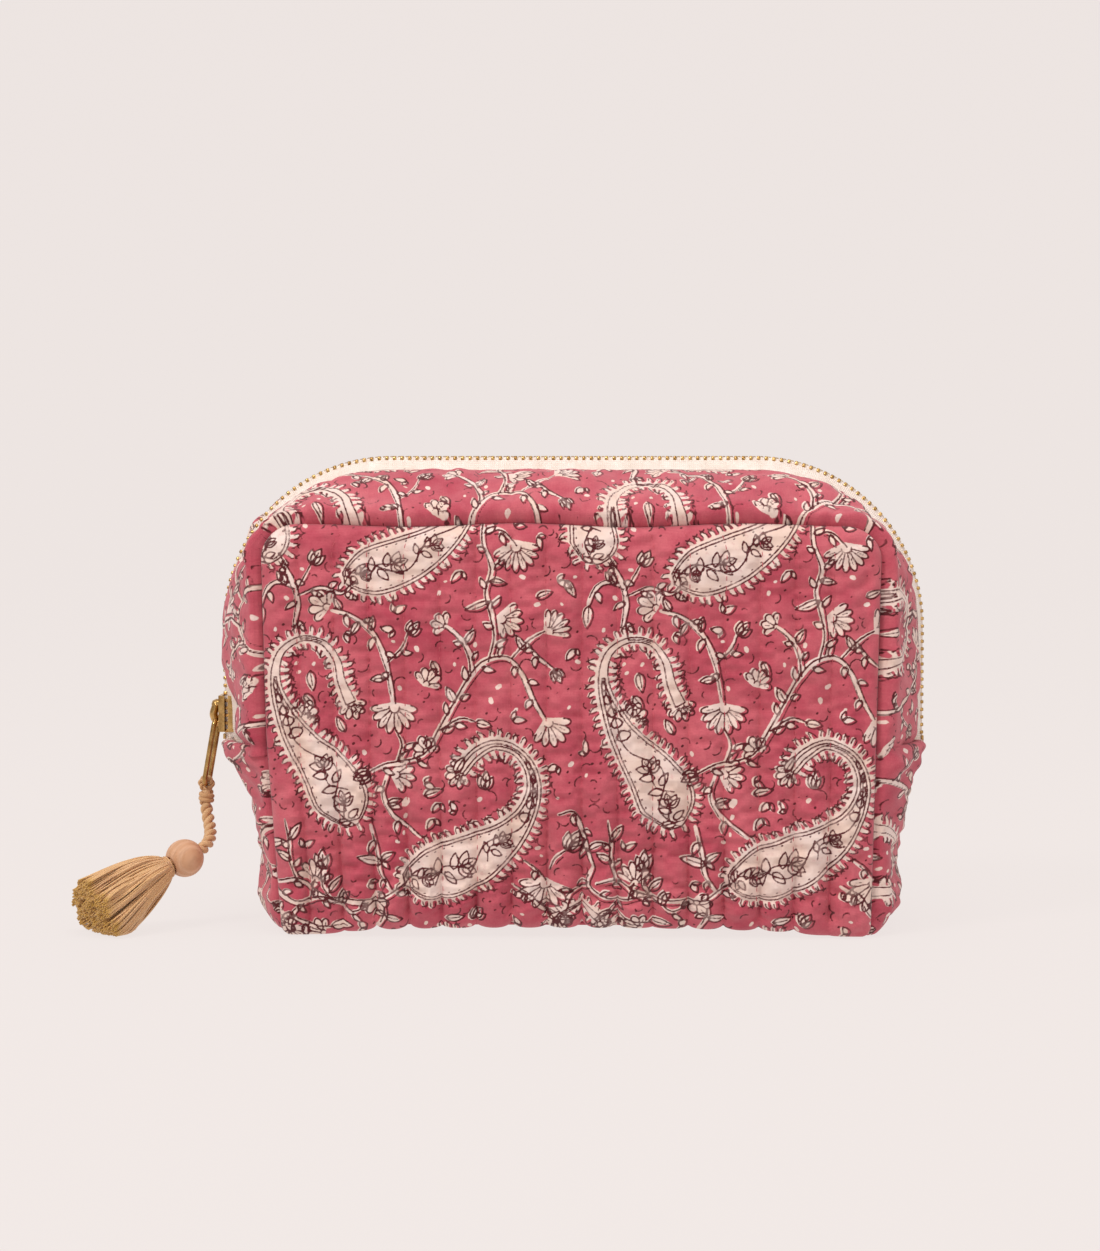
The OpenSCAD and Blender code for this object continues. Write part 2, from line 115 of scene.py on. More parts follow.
def new_mesh(name, points, quads, polygons=(), materials=()):
    """An object from an array of points, an array of quads and arrays of longer polygons."""
    points = np.asarray(points, np.float32).reshape(-1, 3)
    groups = [np.asarray(quads, np.int32).reshape(-1, 4)]
    groups += [np.asarray(p, np.int32) for p in polygons]
    groups = [g for g in groups if len(g)]
    corners = np.concatenate([g.ravel() for g in groups])
    totals = np.concatenate([np.full(len(g), g.shape[1], np.int32) for g in groups])
    starts = np.concatenate([[0], np.cumsum(totals)[:-1]]).astype(np.int32)
    mesh = bpy.data.meshes.new(name)
    mesh.vertices.add(len(points))
    mesh.vertices.foreach_set("co", points.ravel())
    mesh.loops.add(len(corners))
    mesh.loops.foreach_set("vertex_index", corners)
    mesh.polygons.add(len(totals))
    mesh.polygons.foreach_set("loop_start", starts)
    mesh.polygons.foreach_set("use_smooth", np.ones(len(totals), bool))
    mesh.update(calc_edges=True)
    mesh.validate()
    for m in materials:
        mesh.materials.append(m)
    piece = bpy.data.objects.new(name, mesh)
    bpy.context.scene.collection.objects.link(piece)
    return piece


def set_attribute(piece, name, values):
    """Stores one number, or one vector, for each vertex."""
    values = np.asarray(values, np.float32)
    kind = "FLOAT" if values.ndim == 1 else "FLOAT_VECTOR"
    attribute = piece.data.attributes.new(name, kind, "POINT")
    attribute.data.foreach_set("value" if values.ndim == 1 else "vector", values.ravel())


def unit(v):
    return v / np.maximum(np.linalg.norm(v, axis=-1, keepdims=True), 1e-12)


def smooth_step(x, low, high):
    t = np.clip((x - low) / (high - low), 0, 1)
    return t * t * (3 - 2 * t)


def curve(points, spacing):
    """A smooth line through the points, sampled about every spacing. Extra columns go along."""
    p = np.asarray(points, float)
    p = np.vstack([2 * p[0] - p[1], p, 2 * p[-1] - p[-2]])
    line = []
    for a, b, c, d in zip(p, p[1:], p[2:], p[3:]):
        n = max(2, int(np.linalg.norm((c - b)[:2]) / spacing))
        t = np.arange(n)[:, None] / n
        line.append(0.5 * (2 * b + (c - a) * t + (2 * a - 5 * b + 4 * c - d) * t**2
                           + (3 * b - a - 3 * c + d) * t**3))
    return np.vstack([*line, p[-2:-1]])


def grid_quads(rows, columns, start=0, closed=False):
    """The quads of a grid of points, row after row. A closed grid joins its last column to its first."""
    i = np.arange(rows - 1)[:, None] * columns
    j = np.arange(columns if closed else columns - 1)[None, :]
    k = (j + 1) % columns
    quads = np.stack([i + j, i + k, i + columns + k, i + columns + j], -1)
    return quads.reshape(-1, 4) + start


def end_caps(rows, columns):
    """The polygons that close the two ends of a tube of grid_quads(rows, columns, closed=True)."""
    ring = np.arange(columns)
    return np.stack([ring[::-1], ring + (rows - 1) * columns])


def joining_quads(rows, columns):
    """The quads that join the last row of such a tube to its first row, so that it becomes a ring."""
    first = np.arange(columns)
    last = first + (rows - 1) * columns
    return np.stack([last, np.roll(last, -1), np.roll(first, -1), first], -1)


def path_frames(line):
    """Two directions square to the line at each point, turning as little as they can."""
    tangents = unit(np.gradient(line, axis=0))
    side = unit(np.cross(tangents[0], [0.3, 0.2, 0.93]))
    sides = []
    for t in tangents:
        side = unit(side - t * (side @ t))
        sides.append(side)
    sides = np.array(sides)
    return sides, np.cross(tangents, sides)


def tube(line, radius, sides=8):
    """Points, quads and end caps of a round tube along a line. The radius may change along it."""
    u, v = path_frames(line)
    a = np.arange(sides) * 2 * math.pi / sides
    radius = np.broadcast_to(radius, len(line))[:, None, None]
    ring = u[:, None] * np.cos(a)[None, :, None] + v[:, None] * np.sin(a)[None, :, None]
    points = (line[:, None] + ring * radius).reshape(-1, 3)
    return points, grid_quads(len(line), sides, closed=True), end_caps(len(line), sides)


def join(parts):
    """One set of points, quads and caps from many, where the caps all have the same number of sides."""
    sizes = np.cumsum([0] + [len(p[0]) for p in parts])
    points = np.vstack([p[0] for p in parts])
    quads = np.vstack([p[1] + s for p, s in zip(parts, sizes)])
    caps = np.vstack([p[2] + s for p, s in zip(parts, sizes)])
    return points, quads, caps


def many(points, quads, caps, places):
    """Copies of a small mesh. Each place is a 3 by 4 array: an origin and three axes as columns."""
    moved = np.einsum("nij,pj->npi", places[:, :, 1:], points) + places[:, None, :, 0]
    shift = (np.arange(len(places)) * len(points))[:, None, None]
    return (moved.reshape(-1, 3), (quads[None] + shift).reshape(-1, quads.shape[1]),
            (caps[None] + shift).reshape(-1, caps.shape[1]))


def waves(x, y, size, seed, count=9):
    """A smooth random height from about -1 to 1 whose bumps are about one size apart."""
    random = np.random.default_rng(seed)
    total = 0
    for _ in range(count):
        angle, phase = random.uniform(0, 2 * math.pi, 2)
        k = 2 * math.pi / size * random.uniform(0.6, 1.5)
        total = total + np.sin(k * (x * math.cos(angle) + y * math.sin(angle)) + phase)
    return total / count**0.5


# ---- materials ----


def add_node(tree, kind, settings=(), **inputs):
    """A node whose inputs are set, or linked where a socket is given."""
    node = tree.nodes.new(kind)
    for key, value in dict(settings).items():
        setattr(node, key, value)
    for key, value in inputs.items():
        name = key.replace("_", " ")
        socket = node.inputs[int(key[1:])] if key[0] == "i" and key[1:].isdigit() else node.inputs[name]
        if isinstance(value, bpy.types.NodeSocket):
            tree.links.new(value, socket)
        else:
            socket.default_value = value
    return node


def new_material(name, roughness=0.8, metallic=0.0):
    material = bpy.data.materials.new(name)
    material.use_nodes = True
    tree = material.node_tree
    shader = tree.nodes["Principled BSDF"]
    shader.inputs["Roughness"].default_value = roughness
    shader.inputs["Metallic"].default_value = metallic
    return material, tree, shader


def srgb(text):
    """The linear colour of a hex code."""
    parts = [int(text[i:i + 2], 16) / 255 for i in (1, 3, 5)]
    linear = [c / 12.92 if c <= 0.04045 else ((c + 0.055) / 1.055) ** 2.4 for c in parts]
    return (*linear, 1)


def attribute(tree, name, output="Fac"):
    return add_node(tree, "ShaderNodeAttribute", {"attribute_name": name}).outputs[output]


def math_node(tree, operation, a, b=0.0):
    return add_node(tree, "ShaderNodeMath", {"operation": operation}, i0=a, i1=b).outputs[0]


def map_range(tree, value, low, high, to_low=0.0, to_high=1.0):
    node = add_node(tree, "ShaderNodeMapRange", Value=value, From_Min=low, From_Max=high,
                    To_Min=to_low, To_Max=to_high)
    return node.outputs[0]


def mix_colour(tree, share, a, b, blend="MIX"):
    node = add_node(tree, "ShaderNodeMix", {"data_type": "RGBA", "blend_type": blend},
                    i0=share, i6=a, i7=b)
    return node.outputs[2]


def noise(tree, vector, scale, detail=2.0, roughness=0.5):
    node = add_node(tree, "ShaderNodeTexNoise", Vector=vector, Scale=scale, Detail=detail,
                    Roughness=roughness)
    return node.outputs[0]


def bump(tree, shader, height, distance, strength=1.0):
    node = add_node(tree, "ShaderNodeBump", Height=height, Distance=distance, Strength=strength)
    tree.links.new(node.outputs[0], shader.inputs["Normal"])


def thread_height(tree, vector, period):
    """The height of a plain weave with this thread spacing, in cloth coordinates."""
    scale = 2 * math.pi / 20 / period
    bands = [
        add_node(tree, "ShaderNodeTexWave", {"bands_direction": axis}, Vector=vector, Scale=scale,
                 Distortion=1.5, Detail=1.0, Detail_Scale=0.4).outputs["Fac"]
        for axis in "XY"
    ]
    return math_node(tree, "ADD", *bands)


ROSE = srgb("#cd6670")
RASPBERRY = srgb("#b14052")
CREAM = srgb("#e9d2ca")
MAROON = srgb("#520b14")


def printed_cotton():
    """Cream and dark red block print on a mottled raspberry ground."""
    material, tree, shader = new_material("printed_cotton", 0.86)
    cloth = attribute(tree, "cloth", "Vector")
    ragged = math_node(tree, "SUBTRACT", noise(tree, cloth, 900, 3), 0.5)
    fine = math_node(tree, "SUBTRACT", noise(tree, cloth, 2600, 2), 0.5)
    blotch = math_node(tree, "ADD", math_node(tree, "MULTIPLY", noise(tree, cloth, 24, 4, 0.6), 0.6),
                       math_node(tree, "MULTIPLY", noise(tree, cloth, 140, 5, 0.65), 0.4))
    ground = mix_colour(tree, map_range(tree, blotch, 0.38, 0.62), ROSE, RASPBERRY)
    speck = map_range(tree, noise(tree, cloth, 1500, 3, 0.7), 0.35, 0.75, 0.0, 0.28)
    ground = mix_colour(tree, speck, ground, srgb("#9c3048"))
    cream_edge = math_node(tree, "MULTIPLY", ragged, 0.55)
    cream_share = map_range(tree, math_node(tree, "ADD", attribute(tree, "print_cream"), cream_edge),
                            -0.1, 0.1, 1.0, 0.0)
    worn = map_range(tree, noise(tree, cloth, 420, 4, 0.7), 0.3, 0.44, 0.72, 1.0)
    cream_share = math_node(tree, "MULTIPLY", cream_share, worn)
    cream = mix_colour(tree, map_range(tree, noise(tree, cloth, 90, 3), 0.35, 0.65), CREAM, srgb("#e3c6b8"))
    colour = mix_colour(tree, cream_share, ground, cream)
    dark_edge = math_node(tree, "ADD", math_node(tree, "MULTIPLY", ragged, 0.42),
                          math_node(tree, "MULTIPLY", fine, 0.16))
    dark_share = map_range(tree, math_node(tree, "ADD", attribute(tree, "print_dark"), dark_edge),
                           -0.1, 0.08, 1.0, 0.0)
    pressed = map_range(tree, noise(tree, cloth, 160, 3, 0.6), 0.3, 0.5, 0.6, 1.0)
    dark_share = math_node(tree, "MULTIPLY", dark_share, pressed)
    colour = mix_colour(tree, dark_share, colour, MAROON)
    tree.links.new(colour, shader.inputs["Base Color"])
    shader.inputs["Sheen Weight"].default_value = 0.18
    shader.inputs["Sheen Roughness"].default_value = 0.6
    shader.inputs["Specular IOR Level"].default_value = 0.18
    weave = thread_height(tree, cloth, 0.00052)
    slub = math_node(tree, "ADD", weave, math_node(tree, "MULTIPLY", noise(tree, cloth, 700, 3), 1.6))
    bump(tree, shader, slub, 0.00006, 0.7)
    return material


def plain_cloth(name, colour, second, period, depth=0.00005):
    """A plain woven cloth with a slight change of colour, and painted shade in the hollows between its
    threads.
    """
    material, tree, shader = new_material(name, 0.88)
    cloth = attribute(tree, "cloth", "Vector")
    shade = mix_colour(tree, map_range(tree, noise(tree, cloth, 220, 4, 0.6), 0.3, 0.7),
                       srgb(colour), srgb(second))
    weave = thread_height(tree, cloth, period)
    # Painted shade: the colour is darkened towards the second colour where the weave lies low, between the
    # threads.
    shade = mix_colour(tree, map_range(tree, weave, 0.2, 1.8, 0.16, 0.0), shade, srgb(second), "MULTIPLY")
    tree.links.new(shade, shader.inputs["Base Color"])
    shader.inputs["Sheen Weight"].default_value = 0.1
    shader.inputs["Specular IOR Level"].default_value = 0.2
    bump(tree, shader, weave, depth, 0.8)
    return material


def yarn(name, colour, second, roughness=0.6, twist=0.0009, fleck_colour="#a9743f", most=0.16):
    """A lustrous thread, with the colour changing a little from strand to strand."""
    material, tree, shader = new_material(name, roughness)
    place = add_node(tree, "ShaderNodeTexCoord").outputs["Object"]
    share = attribute(tree, "shade")
    shade = mix_colour(tree, share, srgb(colour), srgb(second))
    fleck = map_range(tree, noise(tree, place, 1800, 3), 0.3, 0.7, 0.0, most)
    shade = mix_colour(tree, fleck, shade, srgb(fleck_colour))
    tree.links.new(shade, shader.inputs["Base Color"])
    shader.inputs["Sheen Weight"].default_value = 0.25
    shader.inputs["Specular IOR Level"].default_value = 0.35
    bump(tree, shader, noise(tree, place, 1 / twist, 3), 0.0001, 0.6)
    return material


def brass_material():
    material, tree, shader = new_material("brass", 0.3, 1.0)
    place = add_node(tree, "ShaderNodeTexCoord").outputs["Object"]
    tarnish = map_range(tree, noise(tree, place, 260, 4, 0.65), 0.35, 0.7)
    colour = mix_colour(tree, tarnish, srgb("#dcb474"), srgb("#8f6838"))
    tree.links.new(colour, shader.inputs["Base Color"])
    tree.links.new(map_range(tree, noise(tree, place, 900, 3), 0.3, 0.7, 0.2, 0.42),
                   shader.inputs["Roughness"])
    bump(tree, shader, noise(tree, place, 1400, 3), 0.00003, 0.4)
    return material


def wood_material():
    material, tree, shader = new_material("bead_wood", 0.55)
    grain_at = attribute(tree, "grain", "Vector")
    rings = add_node(tree, "ShaderNodeTexWave", {"bands_direction": "X"}, Vector=grain_at, Scale=120,
                     Distortion=7.0, Detail=3.0, Detail_Scale=1.0).outputs["Fac"]
    pores = noise(tree, grain_at, 900, 3, 0.6)
    colour = mix_colour(tree, rings, srgb("#d6a988"), srgb("#c99874"))
    colour = mix_colour(tree, map_range(tree, pores, 0.5, 0.75, 0.0, 0.4), colour, srgb("#9a6a48"))
    tree.links.new(colour, shader.inputs["Base Color"])
    shader.inputs["Specular IOR Level"].default_value = 0.4
    bump(tree, shader, pores, 0.00005, 0.3)
    return material


COTTON = printed_cotton()
LINING = plain_cloth("lining_cotton", "#ead9cf", "#dfc7ba", 0.0006)
TAPE = plain_cloth("zip_tape", "#f3e8e0", "#e4d4c8", 0.0007, 0.0001)
BINDING = plain_cloth("binding_tape", "#a63a4e", "#8c2b40", 0.0006)
BRASS = brass_material()
WOOD = wood_material()
ROPE = yarn("rope", "#d8ae80", "#bd8c5c")
STRANDS = yarn("tassel_strands", "#dcb083", "#c4963c", 0.5, 0.0006)
STITCHING = yarn("stitching_thread", "#c65660", "#a83a4c", 0.7, 0.0006, "#8e2438")

# ---- tassel: the cord comes first ----

CORD_ROUTE = MM * np.array([
    [-132, 0, 41.5], [-132, 0, 40.2], [-131.8, -0.5, 38.5], [-131.4, -1.4, 37],
    [-130.8, -2.8, 35.2], [-130.2, -4.6, 33.4], [-129.7, -6.8, 31.8], [-129.5, -9.2, 30.3],
    [-129.7, -11.8, 28.9], [-130.6, -14.3, 27.5], [-132.2, -16.4, 26.3], [-137, -20, 24],
    [-141.8, -23.6, 21.7],
])
CORD_D = 4.4 * MM
BEAD_AT = CORD_ROUTE[-2]
TASSEL_AXIS = unit(CORD_ROUTE[-1] - BEAD_AT)
PULL_BOTTOM = MM * np.array([-132, 0, 48.5])


def along(line, spacing):
    """The line sampled evenly by its length."""
    steps = np.linalg.norm(np.diff(line, axis=0), axis=1)
    at = np.concatenate([[0], np.cumsum(steps)])
    s = np.linspace(0, at[-1], max(3, int(at[-1] / spacing) + 1))
    return np.stack([np.interp(s, at, line[:, k]) for k in range(3)], -1), s


def twisted(line, radius, ply, lay, sides=10):
    """Two plies of yarn twisted round a line, with this much of the line in one turn."""
    u, v = path_frames(line)
    s = np.concatenate([[0], np.cumsum(np.linalg.norm(np.diff(line, axis=0), axis=1))])
    parts = []
    for half_turn in (0, math.pi):
        a = (s / lay * 2 * math.pi + half_turn)[:, None]
        parts.append(tube(line + radius * (u * np.cos(a) + v * np.sin(a)), ply, sides))
    return parts


def shade_each(parts, random):
    """One number for each part, repeated for its points."""
    return np.concatenate([np.full(len(p[0]), random.uniform(0, 0.6)) for p in parts])


def make_cord():
    line, _ = along(curve(CORD_ROUTE, 0.5 * MM), 0.4 * MM)
    parts = twisted(line, CORD_D * 0.25, CORD_D * 0.27, 7 * MM)
    points, quads, caps = join(parts)
    piece = new_mesh("tassel_rope", points, quads, [caps], [ROPE])
    set_attribute(piece, "shade", shade_each(parts, np.random.default_rng(3)))
    return piece


def make_hitch():
    """The turn of cord round the pull and the small knot under it."""
    a = np.linspace(0, 2 * math.pi, 60)
    ring = PULL_BOTTOM + 2 * MM * np.stack([np.sin(a), 0 * a, np.cos(a)], -1)
    parts = twisted(ring, 0.5 * MM, 0.62 * MM, 4.2 * MM, 8)
    turns = np.linspace(0, 2.6 * 2 * math.pi, 90)
    drop = np.linspace(-1.9, 2.0, 90) * MM
    wide = 2.0 * MM * np.sqrt(np.clip(1 - (drop / (3.2 * MM)) ** 2, 0, 1))
    centre = PULL_BOTTOM - np.array([0, 0, 5.0 * MM])
    coil = centre + np.stack([wide * np.cos(turns), wide * np.sin(turns), -drop], -1)
    parts.append(tube(coil, 0.95 * MM, 8))
    neck = np.stack([centre + [0, 0, 2.6 * MM], centre, centre - [0, 0, 2.6 * MM]])
    parts.append(tube(neck, 1.5 * MM, 8))
    points, quads, caps = join(parts)
    piece = new_mesh("hitch_rope", points, quads, [caps], [ROPE])
    set_attribute(piece, "shade", shade_each(parts, np.random.default_rng(4)))
    return piece


def tassel_frame():
    """The tassel's own axes: along it, across it and level, and the last one nearly upright."""
    across = unit(np.cross(TASSEL_AXIS, [0, 0, 1]))
    return TASSEL_AXIS, across, np.cross(across, TASSEL_AXIS)


def make_bead():
    """A turned bead: a lathe shape with a bore, slightly longer than it is round."""
    axis, across, up = tassel_frame()
    t = np.linspace(0.155, 1 - 0.155, 33)
    outer = np.stack([-np.cos(t * math.pi) * 6.7, np.sin(t * math.pi) * 6.75], -1)
    bore = [[outer[-1, 0] - 0.5, 2.6], [outer[0, 0] + 0.5, 2.6]]
    outline = MM * np.vstack([outer, bore])
    a = np.arange(64) * 2 * math.pi / 64
    ring = across[None] * np.cos(a)[:, None] + up[None] * np.sin(a)[:, None]
    wobble = 1 + 0.012 * np.sin(2 * a + 1) + 0.008 * np.sin(3 * a)
    points = (BEAD_AT + outline[:, 0, None, None] * axis
              + outline[:, 1, None, None] * ring[None] * wobble[None, :, None])
    quads = np.vstack([grid_quads(len(outline), 64, closed=True), joining_quads(len(outline), 64)])
    piece = new_mesh("bead", points.reshape(-1, 3), quads, materials=[WOOD])
    local = (points.reshape(-1, 3) - BEAD_AT) @ np.stack([across, up * 0.6 + across, axis], -1)
    set_attribute(piece, "grain", local * [1, 0.4, 0.15])
    return piece


def make_neck():
    """Thread wound round the top of the strands, in close turns."""
    axis, across, up = tassel_frame()
    turns = 4
    a = np.linspace(0, turns * 2 * math.pi, turns * 40)
    down = np.linspace(7.0, 8.5, len(a)) * MM
    wide = (3.5 + 0.25 * np.sin(a / turns * 1.7)) * MM
    coil = BEAD_AT + (down[:, None] * axis + wide[:, None] * np.cos(a)[:, None] * across
                      + wide[:, None] * np.sin(a)[:, None] * up)
    parts = [tube(coil, 0.36 * MM, 8)]
    core = BEAD_AT + np.linspace(6.9, 9.8, 5)[:, None] * MM * axis
    parts.append(tube(core, 3.3 * MM, 8))
    points, quads, caps = join(parts)
    piece = new_mesh("neck_wrap", points, quads, [caps], [ROPE])
    set_attribute(piece, "shade", shade_each(parts, np.random.default_rng(5)))
    return piece


SKIRT_START = 6.95 * MM
SKIRT_LENGTH = 41 * MM
STRAND_COUNT = 1500
STRAND_R = 0.3 * MM
LOCK_COUNT = 110


def make_skirt():
    """Cut strands in loose locks that bulge out under the bead and lie flattened on the table."""
    axis, across, up = tassel_frame()
    random = np.random.default_rng(11)
    n, steps = STRAND_COUNT, 16
    lock = random.integers(0, LOCK_COUNT, n)
    lock_angle = random.uniform(0, 2 * math.pi, LOCK_COUNT)
    lock_far = np.sqrt(random.uniform(0, 1, LOCK_COUNT))
    x0 = (lock_far * np.cos(lock_angle))[lock] + random.normal(0, 0.05, n)
    y0 = (lock_far * np.sin(lock_angle))[lock] + random.normal(0, 0.05, n)
    far = np.hypot(x0, y0)
    over = np.maximum(far, 1)
    x0, y0, far = x0 / over, y0 / over, np.minimum(far, 1)
    t = np.linspace(0, 1, steps)
    length = SKIRT_LENGTH * (1 - 0.03 * random.uniform(0, 1, n) - 0.06 * far**2)
    fan = (2.9 + 9.4 * t**0.62 + 1.0 * np.sin(t * math.pi))[None] * MM
    bend = random.normal(0, 0.9, LOCK_COUNT)[lock][:, None] * MM * np.sin(t * math.pi * 1.4)[None] * t
    turn = random.normal(0, 0.8, LOCK_COUNT)[lock][:, None] * MM * np.sin(t * math.pi * 1.8)[None] * t
    stray = random.normal(0, 0.22, (n, 1)) * MM * np.sin(t * random.uniform(3, 8, (n, 1)))
    x = SKIRT_START + t[None] * (length - SKIRT_START)[:, None]
    side = x0[:, None] * fan * 1.1 + bend + stray
    lift = y0[:, None] * fan * 0.95 + turn + stray[::-1]
    points = BEAD_AT + x[..., None] * axis + side[..., None] * across + lift[..., None] * up
    points[..., 2] -= 4.5 * MM * t[None] ** 1.6 * (1 - 0.5 * y0[:, None])
    layer = 0.4 * MM + 2.2 * MM * (0.5 + 0.5 * y0[:, None]) * random.uniform(0.2, 1, (n, 1))
    low = points[..., 2] - layer
    soft = 2.0 * MM
    points[..., 2] = layer + np.where(low > soft, low, soft * np.exp(np.minimum(low / soft - 1, 0)))
    sides = 4
    tangent = unit(np.gradient(points, axis=1))
    u = unit(np.cross(tangent, up + 0.1 * across))
    v = np.cross(tangent, u)
    thick = STRAND_R * random.uniform(0.8, 1.25, n)
    a = np.arange(sides) * 2 * math.pi / sides
    ring = u[:, :, None] * np.cos(a)[:, None] + v[:, :, None] * np.sin(a)[:, None]
    tubes = points[:, :, None] + ring * thick[:, None, None, None]
    base = (np.arange(n) * steps * sides)[:, None]
    quads = grid_quads(steps, sides, closed=True)[None] + base[..., None]
    caps = np.vstack([base + cap for cap in end_caps(steps, sides)])
    piece = new_mesh("tassel_strands", tubes.reshape(-1, 3), quads.reshape(-1, 4), [caps], [STRANDS])
    own = random.uniform(0, 0.22, n) + random.uniform(0, 0.15, LOCK_COUNT)[lock]
    tint = own[:, None] + 0.85 * smooth_step(t, 0.9, 0.985)[None] * random.uniform(0.6, 1, (n, 1))
    set_attribute(piece, "shade", np.repeat(np.clip(tint, 0, 1), sides, axis=1).reshape(-1))
    return piece


cord = make_cord()
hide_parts("tassel_cord")
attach(cord, "tassel")
hitch = make_hitch()
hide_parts("cord_loop", "tassel_knot")
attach(hitch, "hitch")
bead = make_bead()
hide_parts("tassel_bead")
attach(bead, "tassel")
neck = make_neck()
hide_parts("tassel_neck")
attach(neck, "skirt")
skirt = make_skirt()
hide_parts("tassel_skirt")
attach(skirt, "skirt")

# ---- the block print, in millimetres of cloth ----

TILE_U = 113.0
TILE_V = 170.0
CELL = 0.2
CELLS_U = int(TILE_U / CELL)
CELLS_V = int(TILE_V / CELL)
FAR = 3.0
LINE_W = 0.32


def to_segment(u, v, a, b):
    """How far places are from the straight line from a to b, and how far along it the nearest point is."""
    d = b - a
    t = np.clip(((u - a[0]) * d[0] + (v - a[1]) * d[1]) / max(d @ d, 1e-9), 0, 1)
    return np.hypot(u - a[0] - t * d[0], v - a[1] - t * d[1]), t


class Block:
    """A repeating printing block: at each cell, the distance to the nearest printed edge."""

    def __init__(self):
        self.cells = np.full((CELLS_U, CELLS_V), FAR, np.float32)

    def window(self, points, pad):
        low = np.floor((points.min(0) - pad) / CELL).astype(int)
        high = np.ceil((points.max(0) + pad) / CELL).astype(int)
        i = np.arange(low[0], high[0] + 1)
        j = np.arange(low[1], high[1] + 1)
        return np.ix_(i % CELLS_U, j % CELLS_V), i[:, None] * CELL, j[None, :] * CELL

    def stroke(self, line, half_width):
        """A line of this half width, which may change along it."""
        line = np.asarray(line, float)
        half = np.broadcast_to(half_width, len(line))
        for k in range(0, len(line) - 1, 6):
            part = line[k:k + 7]
            cells, u, v = self.window(part, FAR * 0.6)
            best = np.full((u.shape[0], v.shape[1]), FAR)
            for a, b, r, q in zip(part, part[1:], half[k:], half[k + 1:]):
                away, t = to_segment(u, v, a, b)
                best = np.minimum(best, away - (r + (q - r) * t))
            self.cells[cells] = np.minimum(self.cells[cells], best)

    def fill(self, outline):
        """A filled shape."""
        outline = np.asarray(outline, float)
        cells, u, v = self.window(outline, 1.5)
        away = np.full((u.shape[0], v.shape[1]), FAR)
        inside = np.zeros(away.shape, bool)
        for a, b in zip(outline, np.roll(outline, -1, 0)):
            away = np.minimum(away, to_segment(u, v, a, b)[0])
            if a[1] != b[1]:
                crosses = (a[1] > v) != (b[1] > v)
                inside ^= crosses & (u < a[0] + (v - a[1]) * (b[0] - a[0]) / (b[1] - a[1]))
        self.cells[cells] = np.minimum(self.cells[cells], np.where(inside, -away, away))

    def at(self, u, v):
        """The distance at any place of the cloth."""
        x, y = u / CELL, v / CELL
        i, j = np.floor(x).astype(int), np.floor(y).astype(int)
        x, y = x - i, y - j
        i, j = i % CELLS_U, j % CELLS_V
        k, m = (i + 1) % CELLS_U, (j + 1) % CELLS_V
        c = self.cells
        return (c[i, j] * (1 - x) + c[k, j] * x) * (1 - y) + (c[i, m] * (1 - x) + c[k, m] * x) * y


cream_block = Block()
dark_block = Block()
print_random = np.random.default_rng(21)


def turned(points, at, angle):
    """Points drawn at the origin along +U, turned by an angle in degrees and moved."""
    a = math.radians(angle)
    spin = np.array([[math.cos(a), math.sin(a)], [-math.sin(a), math.cos(a)]])
    return np.asarray(points, float) @ spin + at


def heading(direction):
    """The angle of a direction in the cloth, in degrees."""
    return math.degrees(math.atan2(direction[1], direction[0]))


def run_along(line):
    """The distance of each point of a line from its start."""
    return np.concatenate([[0], np.cumsum(np.linalg.norm(np.diff(line, axis=0), axis=1))])


def leaf_outline(length, width, bend=0.0):
    """A pointed leaf along +U from the origin."""
    t = np.linspace(0, 1, 8)
    half = width / 2 * np.sin(math.pi * t**0.75) ** 0.8
    middle = bend * length * t * (1 - t) * 2
    top = np.stack([t * length, middle + half], -1)
    under = np.stack([t * length, middle - half], -1)[::-1]
    return np.vstack([top, under[1:-1]])


def leaf(at, angle, length, width, bend=0.0, filled=True, rib=True, ink=1.0):
    outline = leaf_outline(length, width, bend)
    if filled:
        cream_block.fill(turned(outline, at, angle))
    dark_block.stroke(turned(np.vstack([outline, outline[:1]]), at, angle), LINE_W * ink)
    if rib:
        t = np.linspace(0.1, 0.72, 5)
        line = np.stack([t * length, bend * length * t * (1 - t) * 2], -1)
        dark_block.stroke(turned(line, at, angle), LINE_W * 0.8 * ink)


def flower(at, angle, size, petals, spread):
    """A fan of pointed petals with dark lines between them, on a small cup."""
    k = np.linspace(0, petals, petals * 8 + 1)
    turn = np.radians((k / petals - 0.5) * spread)
    rim = size * (0.72 + 0.28 * np.abs(np.sin(math.pi * k)) ** 0.8) * (1 - 0.1 * np.abs(turn))
    outline = np.stack([rim * np.cos(turn), rim * np.sin(turn)], -1)
    cream_block.fill(turned(np.vstack([outline, [[-size * 0.16, 0]]]), at, angle))
    dark_block.stroke(turned(outline, at, angle), LINE_W)
    for j in range(1, petals):
        ray = outline[j * 8] * np.array([[0.36], [0.95]])
        dark_block.stroke(turned(ray, at, angle), LINE_W * 0.85)
    for j in range(0, petals, 2):
        vein = outline[j * 8 + 4] * np.array([[0.5], [0.75]])
        dark_block.stroke(turned(vein, at, angle), LINE_W * 0.6)
    cup = outline[::8] * 0.3
    dark_block.stroke(turned(cup, at, angle), LINE_W * 0.8)


def bud(at, angle, size):
    """Three close petals."""
    leaf(at, angle - 26, size * 0.85, size * 0.42, -0.12, rib=False)
    leaf(at, angle + 26, size * 0.85, size * 0.42, 0.12, rib=False)
    leaf(at, angle, size, size * 0.5)


def dot(at, size):
    a = np.arange(8) * math.pi / 4
    wobble = 1 + 0.25 * np.sin(2 * a + at[0])
    cream_block.fill(at + size * wobble[:, None] * np.stack([np.cos(a), np.sin(a)], -1))


